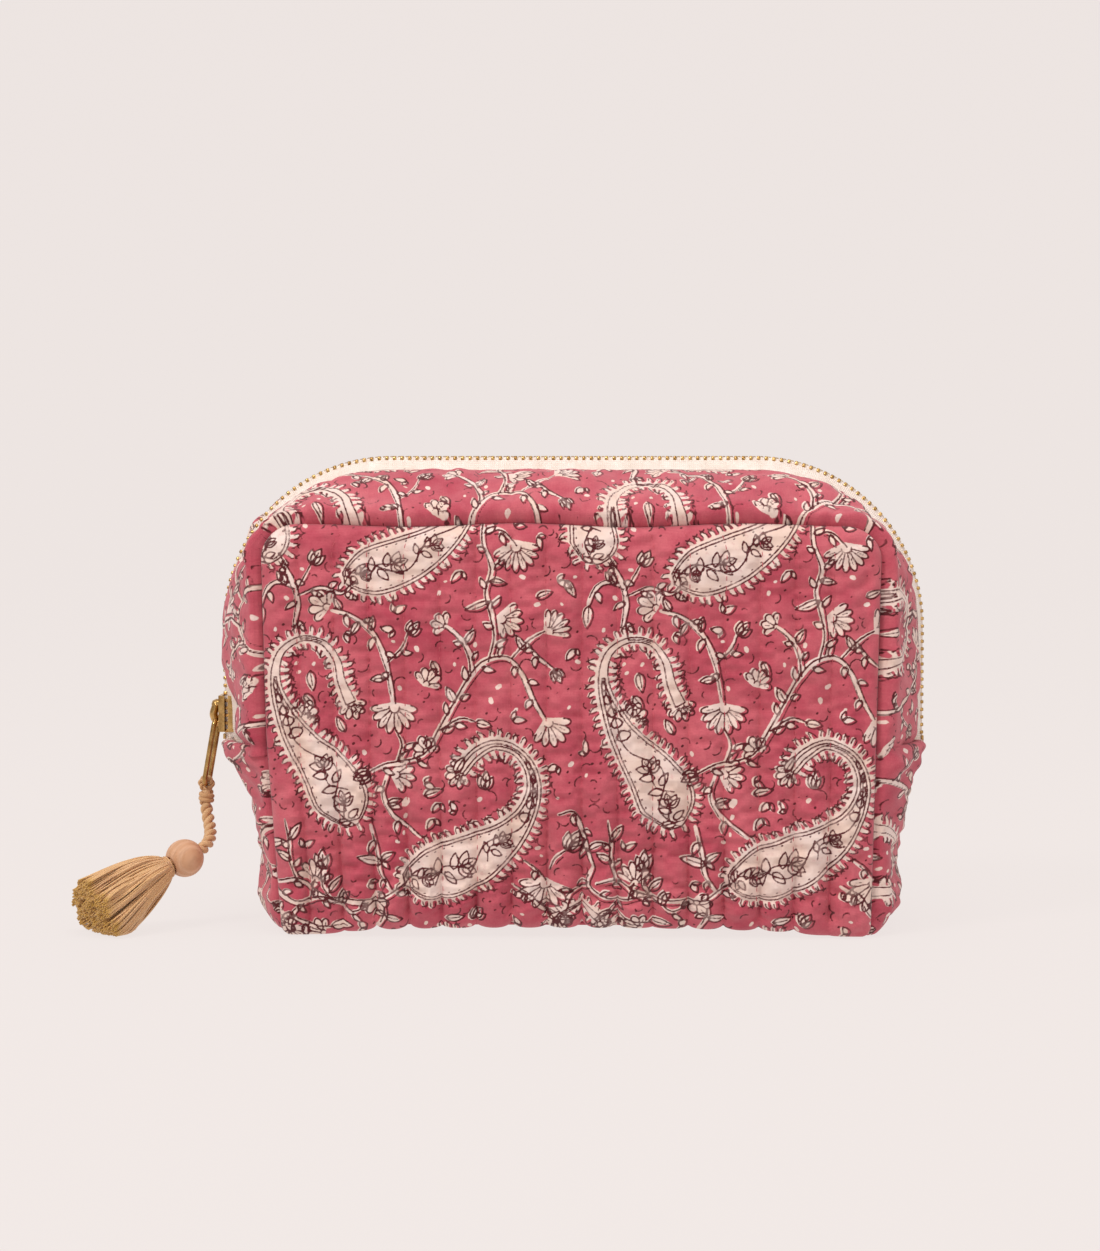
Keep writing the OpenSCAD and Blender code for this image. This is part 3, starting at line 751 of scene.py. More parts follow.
def vine(points, width=0.95):
    """A cream stem that thins at its ends, with a dark line along one edge and small side leaves."""
    line = curve(points, 1.2)
    t = np.linspace(0, 1, len(line))
    half = width * (0.62 + 0.38 * np.sin(math.pi * t)) * (1 + 0.12 * np.sin(t * 23))
    cream_block.stroke(line, half)
    tangent = unit(np.gradient(line, axis=0))
    normal = np.stack([-tangent[:, 1], tangent[:, 0]], -1)
    dark_block.stroke(line + normal * (half * 0.8)[:, None], LINE_W)
    dark_block.stroke(line[2:-2] - normal[2:-2] * (half[2:-2] * 1.1)[:, None], LINE_W * 0.8)
    side = 1
    for k in range(4, len(line) - 4, 5):
        side = -side
        angle = heading(tangent[k]) + side * print_random.uniform(35, 60)
        start = line[k] + normal[k] * side * half[k] * 0.5
        leaf(start, angle, print_random.uniform(3.2, 5.2), print_random.uniform(1.8, 2.4), side * 0.12,
             rib=False)


def curl(at, angle, size=2.0):
    """A small dark hook on the bare ground."""
    a = np.linspace(-1.2, 1.3, 6)
    dark_block.stroke(turned(np.stack([np.sin(a) * size * 0.6, np.cos(a) * size * 0.5], -1), at, angle),
                      LINE_W * 0.85)


def inner_spray(at, angle, size):
    """A sprig drawn in line inside a paisley."""
    stem = turned(curve([[-size, -size * 0.4], [-size * 0.4, size * 0.2], [size * 0.4, 0]], 0.8), at, angle)
    dark_block.stroke(stem, LINE_W * 0.85)
    for x, turn in ((-0.7, 70), (-0.4, -65), (0.0, 60), (0.25, -60)):
        base = turned([[x * size, 0]], at, angle)[0]
        leaf(base, angle + turn, size * 0.7, size * 0.34, filled=False, rib=False, ink=0.95)
    for turn in (-50, 0, 50):
        leaf(turned([[size * 0.4, 0]], at, angle)[0], angle + turn, size * 0.65, size * 0.38,
             filled=False, rib=turn == 0, ink=0.9)


def petal(at, angle, length, width, lean_by):
    """A blunt tooth of the fringe that grows out of a paisley's edge, inked along one side."""
    outline = np.array([[-1.0, -0.5], [0.72, -0.46], [1.0, 0.1], [0.8, 0.4], [0.3, 0.34], [-1.0, 0.5]])
    outline = outline * [length, width]
    outline[:, 1] += lean_by * np.maximum(outline[:, 0], 0)
    cream_block.fill(turned(outline, at, angle))
    inked = outline[:5].copy()
    inked[0, 0] = 0.25 * length
    dark_block.stroke(turned(inked, at, angle), LINE_W * 0.85)


TIP_FLOWER = 6.0
TOOTH_LENGTH = 2.9
TOOTH_EVERY = 2.7
TOOTH_WIDTH = 1.9
RIM_INSETS = (0.75, 1.95)
SPRAY_NEEDS = 6
LEAF_NEEDS = 2.7
LEAF_EVERY = 4.6


def paisley(spine):
    """A drop with a long curled tail. The spine is [u, v, half width], from its round end to its tip."""
    line = curve(spine, 0.9)
    middle, half = line[:, :2], line[:, 2]
    s = run_along(middle)
    blunt = 1.1 * half.max()
    half = half * np.sqrt(1 - (1 - np.clip(s / blunt, 0, 1)) ** 2)
    tangent = unit(np.gradient(middle, axis=0))
    normal = np.stack([-tangent[:, 1], tangent[:, 0]], -1)

    def edge(inset, part=slice(None)):
        inner = np.maximum(half - inset, 0.05)[:, None]
        left, right = (middle + normal * inner)[part], (middle - normal * inner)[part]
        return np.vstack([left, right[::-1]])

    rims = edge(-0.1)
    steps = run_along(rims)
    for far in np.arange(1.2, steps[-1] - 1.2, TOOTH_EVERY):
        at, ahead = [np.array([np.interp(x, steps, rims[:, k]) for k in (0, 1)]) for x in (far, far + 0.5)]
        facing = heading(ahead - at) + 90
        size = TOOTH_LENGTH * print_random.uniform(0.7, 1.2)
        lean_to = facing + print_random.uniform(-14, 10)
        petal(at, lean_to, size, TOOTH_WIDTH, print_random.uniform(-0.2, 0.5))
        if print_random.uniform() < 0.45:
            curl(turned([[size + 0.8, 0.4]], at, facing)[0], facing + 90, 1.4)
    cream_block.fill(edge(0))
    for inset in RIM_INSETS:
        thin = np.flatnonzero((half < inset + 0.4) & (s > blunt))
        ring = edge(inset, slice(np.searchsorted(s, inset), thin[0] if len(thin) else None))
        dark_block.stroke(np.vstack([ring, ring[:1]]), LINE_W * 0.85)
    slim = (half > 1.0) & (half <= 1.6) & (s > blunt)
    dark_block.stroke(middle[slim], LINE_W * 0.8)
    wide = np.flatnonzero((half > 2.9) & (s > 0.3 * blunt))
    swing = (half[wide] - 2.6)[:, None] * 0.55 * np.sin(s[wide] / 4.6)[:, None]
    dark_block.stroke(middle[wide] + normal[wide] * swing, LINE_W * 0.9)
    for k in wide[::4]:
        for side in (-1, 1):
            seed_at = middle[k] + normal[k] * side * (half[k] - 2.9)
            dark_block.stroke([seed_at, seed_at + tangent[k] * 0.5], LINE_W * 0.8)
    far = 0.5 * blunt
    k = np.searchsorted(s, far)
    while half[k] >= SPRAY_NEEDS:
        inner_spray(middle[k], heading(tangent[k]), (half[k] - 1.7) * 0.95)
        far += (half[k] - 1.7) * 2.0
        k = np.searchsorted(s, far)
    while half[k] > LEAF_NEEDS:
        leaf(middle[k], heading(tangent[k]), 3.6, (half[k] - 1.8) * 1.2, 0.1, filled=False, rib=False)
        far += LEAF_EVERY
        k = np.searchsorted(s, far)
    flower(middle[-1], heading(tangent[-1]), TIP_FLOWER, 5, 170)


def lay_out_print():
    """One repeat of the design."""
    a = np.array([-88.0, 70.0])
    b = np.array([-36.0, 36.0])
    c = np.array([-59.0, 133.0])
    d = np.array([9.0, 140.0])
    paisley([[*(a + p), w] for p, w in (
        ((11, -32), 7), ((8, -22), 10.4), ((3, -13), 9.4), ((-4, -4), 6.8), ((-10, 6), 4.4),
        ((-14, 18), 2.6), ((-12.5, 28), 1.9), ((-5.5, 33), 1.6), ((2, 32), 1.6), ((7, 26), 1.9),
        ((9, 18), 2.2), ((12, 11), 2.6))])
    paisley([[*(b + p), w] for p, w in (
        ((-24, -16), 7), ((-12, -14), 10.4), ((0, -9.5), 10.2), ((11, -3), 7.6), ((19, 5), 4.8),
        ((23, 14), 3.4), ((22.5, 22), 2.8), ((18, 28.5), 2.4), ((10, 31.5), 2.4), ((3, 28), 2.8),
        ((-2, 22), 2.6))])
    paisley([[*(c + p), w] for p, w in (
        ((-20, -9), 6), ((-9, -6), 9.4), ((3, -1), 9.2), ((14, 6), 6.8), ((22, 14), 4.2),
        ((26, 23), 2.2), ((24, 31), 1.6), ((17, 35), 1.6), ((10, 32), 2.4))])
    paisley([[*(d + p), w] for p, w in (
        ((-2, -11), 7), ((-1, -2), 9), ((-4, 9), 7), ((-11, 19), 3.6), ((-15, 28), 2),
        ((-13, 36), 1.5), ((-6, 40), 1.5), ((0, 36), 2.2))])
    vine([(-101, 133), (-96, 124), (-94, 116), (-95, 108), (-94, 103)])
    vine([(-94, 118), (-86, 121), (-79, 119), (-74, 123)], 0.7)
    vine([(-94, 120), (-91, 125), (-89, 129)], 0.7)
    bud((-89, 129), 60, 6.5)
    vine([(-95, 121), (-101, 123), (-105, 120), (-107, 115)], 0.8)
    leaf((-107, 115), -95, 8, 3.4)
    leaf((-98, 122), 110, 5, 2.4)
    vine([(-82, 113), (-75, 111), (-68, 105), (-64, 97), (-62, 88), (-61, 81)])
    vine([(-63, 95), (-58, 100), (-56, 105)], 0.7)
    bud((-56, 105), 50, 6)
    for at, angle in (((-79, 113), 120), ((-73, 109), -120), ((-69, 106), 80), ((-64, 90), 190)):
        leaf(at, angle, 5.4, 2.6)
    flower((-84, 114), 150, 7, 5, 200)
    flower((-61, 80), -90, 9.5, 8, 190)
    vine([(-70, 57), (-64, 60), (-58, 61), (-50, 64), (-45, 72), (-40, 81), (-34, 91), (-29, 96),
          (-22, 97), (-17, 92), (-13, 83), (-9, 76)], 1.1)
    flower((-50, 65), 110, 5.5, 5, 240)
    flower((-8, 75), -60, 9, 6, 150)
    vine([(-45, 72), (-38, 76), (-33, 75)], 0.7)
    leaf((-33, 75), -10, 6, 3)
    vine([(-60, 61), (-58, 67), (-60, 72)], 0.7)
    bud((-70, 57), 200, 6)
    vine([(-34, 91), (-35, 99), (-39, 105), (-43, 108)])
    flower((-43, 108), 150, 5.5, 4, 170)
    leaf((-36, 102), 60, 6, 2.8)
    leaf((-40, 82), 120, 6, 3)
    vine([(-28, 96), (-26, 104), (-27, 112), (-29, 120), (-27, 128), (-30, 137), (-30, 146)])
    flower((-24, 111), -20, 8, 6, 150)
    leaf((-28, 117), 200, 9, 3, 0.15)
    leaf((-28, 124), -10, 6, 2.6)
    flower((-19, 136), -80, 9.5, 8, 170)
    vine([(-29, 140), (-24, 141), (-19, 136)], 0.7)
    vine([(-20, 97), (-14, 103), (-9, 106)], 0.9)
    flower((-8, 106), 40, 8.5, 6, 120)
    vine([(-15, 102), (-11, 97), (-6, 93)], 0.7)
    bud((-6, 93), -60, 5.5)
    leaf((-16, 100), 120, 6, 2.6)
    vine([(-104, 19), (-97, 20), (-91, 16), (-84, 13), (-76, 12), (-69, 12), (-63, 15), (-58, 19)], 1.1)
    vine([(-97, 20), (-99, 27), (-99, 34), (-100, 41)], 0.8)
    leaf((-99, 34), 55, 7, 3)
    leaf((-99, 27), 150, 6, 2.8)
    vine([(-85, 14), (-88, 19), (-88, 25)], 0.8)
    bud((-88, 24), 88, 7)
    leaf((-86, 16), 50, 7, 3)
    flower((-70, 12), -60, 6, 5, 260)
    vine([(-70, 39), (-68, 30), (-67, 23), (-63, 16)], 0.85)
    leaf((-67, 26), 165, 9, 3.4)
    leaf((-67, 27), 30, 6, 3)
    flower((-61, 57), -10, 7.5, 5, 140)
    vine([(-63, 57), (-65, 50), (-62, 43), (-56, 38), (-52, 35)], 0.85)
    leaf((-64, 47), 15, 5.4, 2.4)
    dot((-57, 47), 1.6)
    leaf((-51, 50), 15, 7, 3)
    vine([(-100, 8), (-93, 4), (-86, 3)], 0.8)
    flower((-89, 1), 150, 6.5, 5, 180)
    vine([(-66, 12), (-66, 6), (-69, 0)], 0.8)
    leaf((-66, 6), -20, 6.5, 3)
    flower((-9, 19), -100, 10.5, 8, 190)
    vine([(-16, 27), (-12, 24), (-9, 20)], 0.6)
    bud((-1, 31), 60, 8)
    vine([(-7, 24), (-5, 28), (-1, 31)], 0.8)
    vine([(-20, 18), (-14, 14), (-9, 7), (-5, 3)], 0.8)
    flower((-6, 5), -50, 7, 5, 140)
    vine([(-4, 43), (1, 44), (4, 38), (6, 31), (8, 25)], 0.9)
    leaf((5, 35), 200, 6, 3)
    leaf((6, 31), 20, 7, 3, 0.15)
    vine([(8, 25), (6, 19), (11, 14), (17, 12), (24, 14), (31, 11)], 1.0)
    vine([(6, 18), (0, 15), (-2, 9)], 0.9)
    flower((-3, 9), -100, 7, 6, 130)
    vine([(17, 12), (13, 7), (12, 2)], 0.8)
    flower((12, 3), -80, 6, 6, 200)
    flower((22, 20), 85, 7.5, 6, 170)
    vine([(20, 13), (22, 20)], 0.7)
    vine([(31, 11), (35, 8), (40, 10)], 0.8)
    leaf((31, 11), 80, 6, 3)
    leaf((27, 4), -10, 8, 3.4)
    bud((0, -10), 80, 7)
    vine([(-52, -14), (-44, -10), (-36, -13), (-28, -9), (-20, -12)], 1.0)
    flower((-44, -9), 80, 7, 6, 170)
    flower((-28, -9), 60, 7, 6, 170)
    flower((-86, -14), 80, 8, 6, 170)
    vine([(-100, -16), (-92, -19), (-86, -15)], 0.9)
    leaf((-44, 4), 10, 7, 3)
    bud((-34, 3), 60, 6)
    leaf((-90, 92), -80, 7, 3.2)
    leaf((-92, 84), -50, 6, 3)
    flower((-92, 76), 70, 6, 5, 200)
    leaf((-78, 71), 120, 6, 3)
    leaf((-40, 58), 60, 6, 3)
    bud((-30, 52), 80, 6.5)
    leaf((-48, 96), -60, 6, 2.8)
    flower((-50, 88), 60, 6, 5, 180)
    leaf((-2, 124), -60, 7, 3)
    leaf((-12, 118), 20, 6, 2.6)
    flower((-75, 152), 60, 8, 6, 180)
    leaf((-60, 158), 30, 8, 3.4)


def scatter():
    """Small leaves, dots and hooks on the bare ground between the motifs."""
    random = np.random.default_rng(5)
    for u, v in zip(random.uniform(0, TILE_U, 1100), random.uniform(0, TILE_V, 1100)):
        free = float(cream_block.at(np.array(u), np.array(v)))
        inked = float(dark_block.at(np.array(u), np.array(v)))
        if free < 1.5 or inked < 1.0:
            continue
        kind = random.uniform()
        angle = random.uniform(0, 360)
        if kind < 0.12:
            dot(np.array([u, v]), random.uniform(0.6, 1.1))
        elif kind < 0.3 and free > 2.5 and inked > 2.5:
            leaf((u, v), angle, random.uniform(3.5, 5.5), random.uniform(2, 2.6), rib=False)
            leaf((u, v), angle + 70, random.uniform(2.5, 3.5), 1.7, rib=False)
        elif kind < 0.62:
            curl((u, v), angle, random.uniform(1.4, 3.6))
        else:
            dark_block.stroke([[u, v], [u + 0.3, v + 0.2]], random.uniform(0.2, 0.45))


lay_out_print()
scatter()

SLIP_U = 0.45
SLIP_V = -0.35


def print_at(u, v):
    """The cream and the dark distance at a place of the cloth. The dark block was set down askew."""
    slip = waves(u, v, 160, 2)
    drift = waves(u, v, 130, 4)
    ghost = 0.35 * waves(u, v, 90, 8)
    return (cream_block.at(u, v) + 0.25 * np.maximum(ghost, 0),
            dark_block.at(u - SLIP_U - 0.4 * slip, v - SLIP_V - 0.4 * drift))


# ---- quilted pieces ----


def normals_of(grid):
    """The unit normal at each point of a grid of points."""
    return unit(np.cross(np.gradient(grid, axis=0), np.gradient(grid, axis=1)))


def channel_place(x):
    """The distance from the nearest quilting line, and the number of the channel."""
    c = (x - CHANNEL_START) / CHANNEL
    return np.abs(c - np.round(c)) * CHANNEL, np.floor(c)


def arch(s):
    """The padding's height between two quilting lines, from 0 on a line to 1 half way."""
    t = np.clip(1 - s / (CHANNEL / 2), 0, 1)
    return (1 - t**2.2) ** 0.55


def seam_roll(seam, height, at):
    """The soft roll of a padded piece beside a seam: its height and how far from the seam it is highest."""
    return height * (seam / at) * np.exp(1 - seam / at)


def rounded_end(distance, depth, reach):
    """How far a piece turns down over this reach, at an end with no seam."""
    return -depth * (1 - np.sqrt(1 - np.clip(1 - distance / reach, 0, 1) ** 2))


def outward_normals(grid, centre_z):
    """The normals of a gusset's grid, all away from a line through the bag at this height."""
    normal = normals_of(grid)
    return normal * np.sign(np.sum(normal * (grid - [0, 0, centre_z]), -1, keepdims=True))


def pucker(x, z, s, seed):
    """Small creases that run out from a quilting line."""
    near = np.exp(-((s / (3.2 * MM)) ** 2))
    return 0.2 * MM * waves(x / 1.6, z, 5 * MM, seed) * near


def padded_sheet(name, outer, inner, cloth, step, materials):
    """A closed pad: a fine outer skin, a coarse inner skin and a wall between their edges."""
    rows, columns = outer.shape[:2]
    coarse = inner[::step, ::step]
    r, c = coarse.shape[:2]
    base = rows * columns
    outer_quads = grid_quads(rows, columns)
    inner_quads = grid_quads(r, c, base)[:, ::-1]
    fine = np.arange(base).reshape(rows, columns)
    rough = np.arange(r * c).reshape(r, c) + base
    loops = [(fine[0], rough[0], 1), (fine[-1], rough[-1], -1), (fine[:, 0], rough[:, 0], -1),
             (fine[:, -1], rough[:, -1], 1)]
    walls = []
    for edge, back, turn in loops:
        for k in range(len(back) - 1):
            ring = np.concatenate([edge[k * step:(k + 1) * step + 1][::-1], back[[k, k + 1]]])
            walls.append(ring[::turn])
    points = np.vstack([outer.reshape(-1, 3), coarse.reshape(-1, 3)])
    quads = np.vstack([outer_quads, inner_quads])
    piece = new_mesh(name, points, quads, [np.array(walls)], materials)
    slots = np.zeros(len(piece.data.polygons), np.int32)
    slots[len(outer_quads):len(outer_quads) + len(inner_quads)] = 1
    piece.data.polygons.foreach_set("material_index", slots)
    u = np.concatenate([cloth[..., 0].ravel(), cloth[::step, ::step, 0].ravel()])
    v = np.concatenate([cloth[..., 1].ravel(), cloth[::step, ::step, 1].ravel()])
    cream, dark = print_at(u, v)
    set_attribute(piece, "print_cream", cream)
    set_attribute(piece, "print_dark", dark)
    set_attribute(piece, "cloth", np.stack([u * MM, v * MM, np.zeros(len(u))], -1))
    return piece


def side_x(z):
    return HALF_BOTTOM + (HALF_TOP - HALF_BOTTOM) * (z - FOOT_R) / (SIDE_TOP_Z - FOOT_R)


def even_count(length, spacing, step):
    """A number of intervals of about this spacing that is a multiple of step."""
    return max(1, round(length / spacing / step)) * step


SPACING = 0.42 * MM
STEP = 6


def panel_rows():
    """Heights and half widths up the side of a panel's outline."""
    n = even_count(math.pi / 2 * FOOT_R, SPACING, STEP)
    a = np.linspace(-math.pi / 2, 0, n + 1)
    foot = np.stack([FOOT_R + FOOT_R * np.sin(a), HALF_BOTTOM - FOOT_R + FOOT_R * np.cos(a)], -1)
    n = even_count(SIDE_TOP_Z - FOOT_R, SPACING, STEP)
    z = np.linspace(FOOT_R, SIDE_TOP_Z, n + 1)[1:]
    side = np.stack([z, side_x(z)], -1)
    n = even_count(math.pi / 2 * TOP_R, SPACING, STEP)
    a = np.linspace(0, math.pi / 2, n + 1)[1:]
    top = np.stack([SIDE_TOP_Z + TOP_R * np.sin(a), HALF_TOP - TOP_R + TOP_R * np.cos(a)], -1)
    return np.vstack([foot, side, top])


def edge_distance(x, z):
    """How far a point of a panel lies inside the panel's outline."""
    x = np.abs(x)
    d = np.minimum(np.minimum(side_x(z) - x, PANEL_H - z), z)
    top = (HALF_TOP - TOP_R, SIDE_TOP_Z, TOP_R, 1)
    foot = (HALF_BOTTOM - FOOT_R, FOOT_R, FOOT_R, -1)
    for cx, cz, r, up in (top, foot):
        corner = (x > cx) & ((z - cz) * up > 0)
        d = np.where(corner, np.minimum(d, r - np.hypot(x - cx, z - cz)), d)
    return np.maximum(d, 0)


SWELL_STEP = CHANNEL / 6
SWELL_ROW = 2.2 * MM
SWELL_CAP = 4 * MM
SWELL_FRAMES = 20


def swell(seed):
    """How far a panel's cover swells when it is blown up from inside, held by its stitches and its edge.

    The values are on a coarse grid, with a row for each height and a column for each place across.
    """
    count = int((HALF_TOP - CHANNEL_START) / SWELL_STEP)
    x = CHANNEL_START + SWELL_STEP * np.arange(-count - 4, count + 1)
    z = np.arange(0, PANEL_H + SWELL_ROW / 2, SWELL_ROW)
    columns, rows = len(x), len(z)
    random = np.random.default_rng(seed)
    points = np.zeros((rows, columns, 3))
    points[..., 0] = x[None]
    points[..., 1] = -random.uniform(0.02, 0.25, (rows, columns)) * MM
    points[..., 2] = z[:, None]
    cover = new_mesh("swelling_cover", points, grid_quads(rows, columns))
    stitched = channel_place(x)[0] < 0.1 * MM
    held = np.zeros((rows, columns), bool)
    held[:, stitched] = True
    held[[0, -1]] = True
    held[:, [0, -1]] = True
    cover.vertex_groups.new(name="held").add(np.flatnonzero(held.ravel()).tolist(), 1.0, "REPLACE")
    cloth = cover.modifiers.new("cloth", "CLOTH")
    cloth.settings.quality = 6
    cloth.settings.mass = 0.25
    cloth.settings.bending_stiffness = 0.6
    cloth.settings.use_pressure = True
    cloth.settings.uniform_pressure_force = 4000
    cloth.settings.shrink_min = -0.025
    cloth.settings.vertex_group_mass = "held"
    cloth.settings.effector_weights.gravity = 0
    cloth.collision_settings.use_collision = False
    cloth.point_cache.frame_start = 1
    cloth.point_cache.frame_end = SWELL_FRAMES
    scene = bpy.context.scene
    for step in range(1, SWELL_FRAMES + 1):
        scene.frame_set(step)
    result = cover.evaluated_get(bpy.context.evaluated_depsgraph_get()).data
    place = np.zeros(rows * columns * 3, np.float32)
    result.vertices.foreach_get("co", place)
    out = -np.nan_to_num(place.reshape(rows, columns, 3)[..., 1])
    bpy.data.objects.remove(cover)
    scene.frame_set(1)
    return x[0], np.clip(out, 0, SWELL_CAP)


def sampled(swelling, x, z):
    """The swelling at any place of the panel."""
    start, out = swelling
    i = np.clip((x - start) / SWELL_STEP, 0, out.shape[1] - 1.001)
    j = np.clip(z / SWELL_ROW, 0, out.shape[0] - 1.001)
    a, b = i.astype(int), j.astype(int)
    u, v = i - a, j - b
    u, v = u * u * (3 - 2 * u) * 0.3 + u * 0.7, v * v * (3 - 2 * v) * 0.3 + v * 0.7
    low = out[b, a] * (1 - u) + out[b, a + 1] * u
    high = out[b + 1, a] * (1 - u) + out[b + 1, a + 1] * u
    return low * (1 - v) + high * v


EDGE_ROLL = 4.8 * MM
DEEPEST = 3.2 * MM
ARCH_SHARE = 0.35
SWELL_MEAN = 0.6 * MM
BULGE = 2.2 * MM
CREASE_AT = (92 * MM, 114 * MM)
CREASE_SIZE = (13 * MM, 3.2 * MM)
RIDGE_AT = (90 * MM, 121 * MM)
RIDGE_SIZE = (15 * MM, 5 * MM)


def mound(x, z, at, size):
    """1 at a place of a panel, and 0 away from it. The same on the left and on the right."""
    return np.exp(-(((np.abs(x) - at[0]) / size[0]) ** 2) - ((z - at[1]) / size[1]) ** 2)


def panel_height(x, z, seed):
    """How far the padding stands out from a panel's flat face, away from its edge."""
    s, number = channel_place(x + 0.35 * MM * waves(x, z, 60 * MM, seed + 3))
    low = smooth_step(z, 80 * MM, 5 * MM)
    deep = (1.3 + 2.0 * low + 0.4 * waves(number * 0.05, z, 70 * MM, seed + 1)) * MM
    puff = deep * (arch(s) - 1)
    base = smooth_step(z, 42 * MM, 4 * MM)
    swelling = sampled(swell(seed), x, z) - SWELL_MEAN
    puff = ARCH_SHARE * puff + (1.5 + 0.9 * low + 0.8 * base) * swelling
    bulge = BULGE * (1 - (x / HALF_TOP) ** 2) * np.sin(np.clip(z / PANEL_H, 0, 1) * math.pi)
    dents = 0.9 * MM * waves(x, z * 1.4, 62 * MM, seed) + 0.35 * MM * waves(x * 1.3, z, 21 * MM, seed + 6)
    crease = mound(x, z, CREASE_AT, CREASE_SIZE)
    ridge = mound(x, z, RIDGE_AT, RIDGE_SIZE)
    folds = np.where(x < 0, 0.9 * MM * ridge - 1.3 * MM * crease, 0)
    return np.maximum(puff + bulge + dents + folds + pucker(x, z, s, seed + 2), -DEEPEST)


DRAWN_UP = 1.9 * MM
DRAWN_UP_MIDDLE = 2.7 * MM


def scallop(x, z):
    """How far the bottom edge is drawn up: on each quilting line, and in the middle of the bag."""
    s, _ = channel_place(x)
    near = smooth_step(z, 22 * MM, 0) * smooth_step(np.abs(x), 98 * MM, 70 * MM)
    middle = DRAWN_UP_MIDDLE * (1 - np.clip(np.abs(x) / HALF_BOTTOM, 0, 1) ** 2.5)
    return near * ((DRAWN_UP + 0.8 * MM * waves(x, 0 * x, 45 * MM, 12)) * (1 - arch(s)) + middle)


def lean(points):
    """The lower left corner stands a little further in, most of all at the front, and the top seam waves."""
    low = np.clip(1 - points[..., 2] / (70 * MM), 0, 1)
    left = smooth_step(-points[..., 0], 30 * MM, 104 * MM)
    front = np.clip(0.5 - points[..., 1] / (88 * MM), 0.1, 1)
    moved = points.copy()
    moved[..., 0] += 3.8 * MM * low * left * front
    seam = np.exp(-(((points[..., 2] - PANEL_H) / (12 * MM)) ** 2))
    seam = seam * smooth_step(-points[..., 1], 0, 36 * MM)
    moved[..., 2] -= (0.6 * MM + 0.9 * MM * waves(points[..., 0], 0 * points[..., 0], 95 * MM, 31)) * seam
    return moved


def panel_grid(seed):
    """The outer surface of a panel facing -Y, and its places in the cloth."""
    rows = panel_rows()
    columns = even_count(2 * HALF_TOP, SPACING, STEP)
    across = np.linspace(-1, 1, columns + 1)
    x = rows[:, 1][:, None] * across[None]
    z = np.repeat(rows[:, 0][:, None], len(across), 1)
    d = edge_distance(x, z)
    inward = np.clip(EDGE_ROLL - d, 0, EDGE_ROLL)
    drop = EDGE_ROLL - np.sqrt(np.maximum(EDGE_ROLL**2 - inward**2, 0))
    free = smooth_step(d, 0, 9 * MM)
    y = -FACE_Y + drop - panel_height(x, z, seed) * free
    hem = smooth_step(d, 0, 3 * MM) * smooth_step(d, 13 * MM, 3 * MM)
    crease = 0.4 * MM * waves(x, z, 9 * MM, seed + 9) * hem
    outer = np.stack([x, y - crease, z + scallop(x, z)], -1)
    return outer, np.stack([x / MM, z / MM], -1)


def panel_inner(outer):
    """The lining's side of a panel, drawn in from the outline by the thickness of the wall."""
    inner = outer.copy()
    inner[..., 1] = -FACE_Y + WALL
    middle = PANEL_H / 2
    inner[..., 0] *= 1 - WALL / HALF_TOP
    inner[..., 2] = middle + (inner[..., 2] - middle) * (1 - WALL / middle)
    inner[..., 1] += 0.5 * MM * arch(channel_place(inner[..., 0])[0])
    return inner


def mirrored(grid):
    """A grid facing -Y turned to face +Y, with its rows kept and its columns reversed."""
    return (grid * [1, -1, 1])[:, ::-1]


PADS = [COTTON, LINING]

front_outer, front_cloth = panel_grid(40)
front_outer = lean(front_outer)
front_panel = padded_sheet("front_panel", front_outer, panel_inner(front_outer), front_cloth, STEP, PADS)
back_outer, back_cloth = panel_grid(70)
back_outer = lean(mirrored(back_outer))
back_panel = padded_sheet("back_panel", back_outer, mirrored(panel_inner(mirrored(back_outer))),
                          (back_cloth * [-1, 1] + [31, 47])[:, ::-1], STEP, PADS)

# ---- gusset: stations round the panel's outline, each with its point on the zip's line ----


def side_stations(s, heights):
    z = np.asarray(heights)
    x = side_x(z)
    below = (HALF_ZIP - side_x(ZIP_END_Z)) * np.clip(z / ZIP_END_Z, 0, 1) ** SIDE_POWER
    crown = np.where(z >= ZIP_END_Z, HALF_ZIP - x, below)
    o = np.zeros(len(z))
    return np.stack([s * x, z, s + o, o, s * crown, o], -1)


def corner_stations(s, u):
    side, bend = SIDE_TOP_Z - ARC_Z, TOP_R * math.pi / 2
    top = HALF_TOP - TOP_R - ARC_X
    w = u * (side + bend + top)
    a = np.clip((w - side) / TOP_R, 0, math.pi / 2)
    px = np.where(w < side, side_x(ARC_Z + w), HALF_TOP - TOP_R + TOP_R * np.cos(a)
                  - np.maximum(w - side - bend, 0))
    pz = np.where(w < side, ARC_Z + w, SIDE_TOP_Z + TOP_R * np.sin(a))
    nx, nz = np.cos(u * math.pi / 2), np.sin(u * math.pi / 2)
    qx, qz = ARC_X + ZIP_R * nx, ARC_Z + ZIP_R * nz
    return np.stack([s * px, pz, s * nx, nz, s * (qx - px), qz - pz], -1)


def top_stations(x):
    o = np.zeros(len(x))
    return np.stack([x, o + PANEL_H, o, o + 1, o, o + ZIP_TOP - PANEL_H], -1)


def spaced(low, high, spacing):
    return np.linspace(low, high, max(2, int(round(abs(high - low) / spacing)) + 1))


def strip_stations(spacing):
    """From the left zip end over the top to the right zip end."""
    up = spaced(ZIP_END_Z - 2 * MM, ARC_Z, spacing)
    turn = spaced(0, 1, spacing / (ZIP_R * math.pi / 2))
    top = spaced(-ARC_X, ARC_X, spacing)
    return np.vstack([side_stations(-1, up[:-1]), corner_stations(-1, turn[:-1]), top_stations(top[:-1]),
                      corner_stations(1, turn[::-1][:-1]), side_stations(1, up[::-1])])


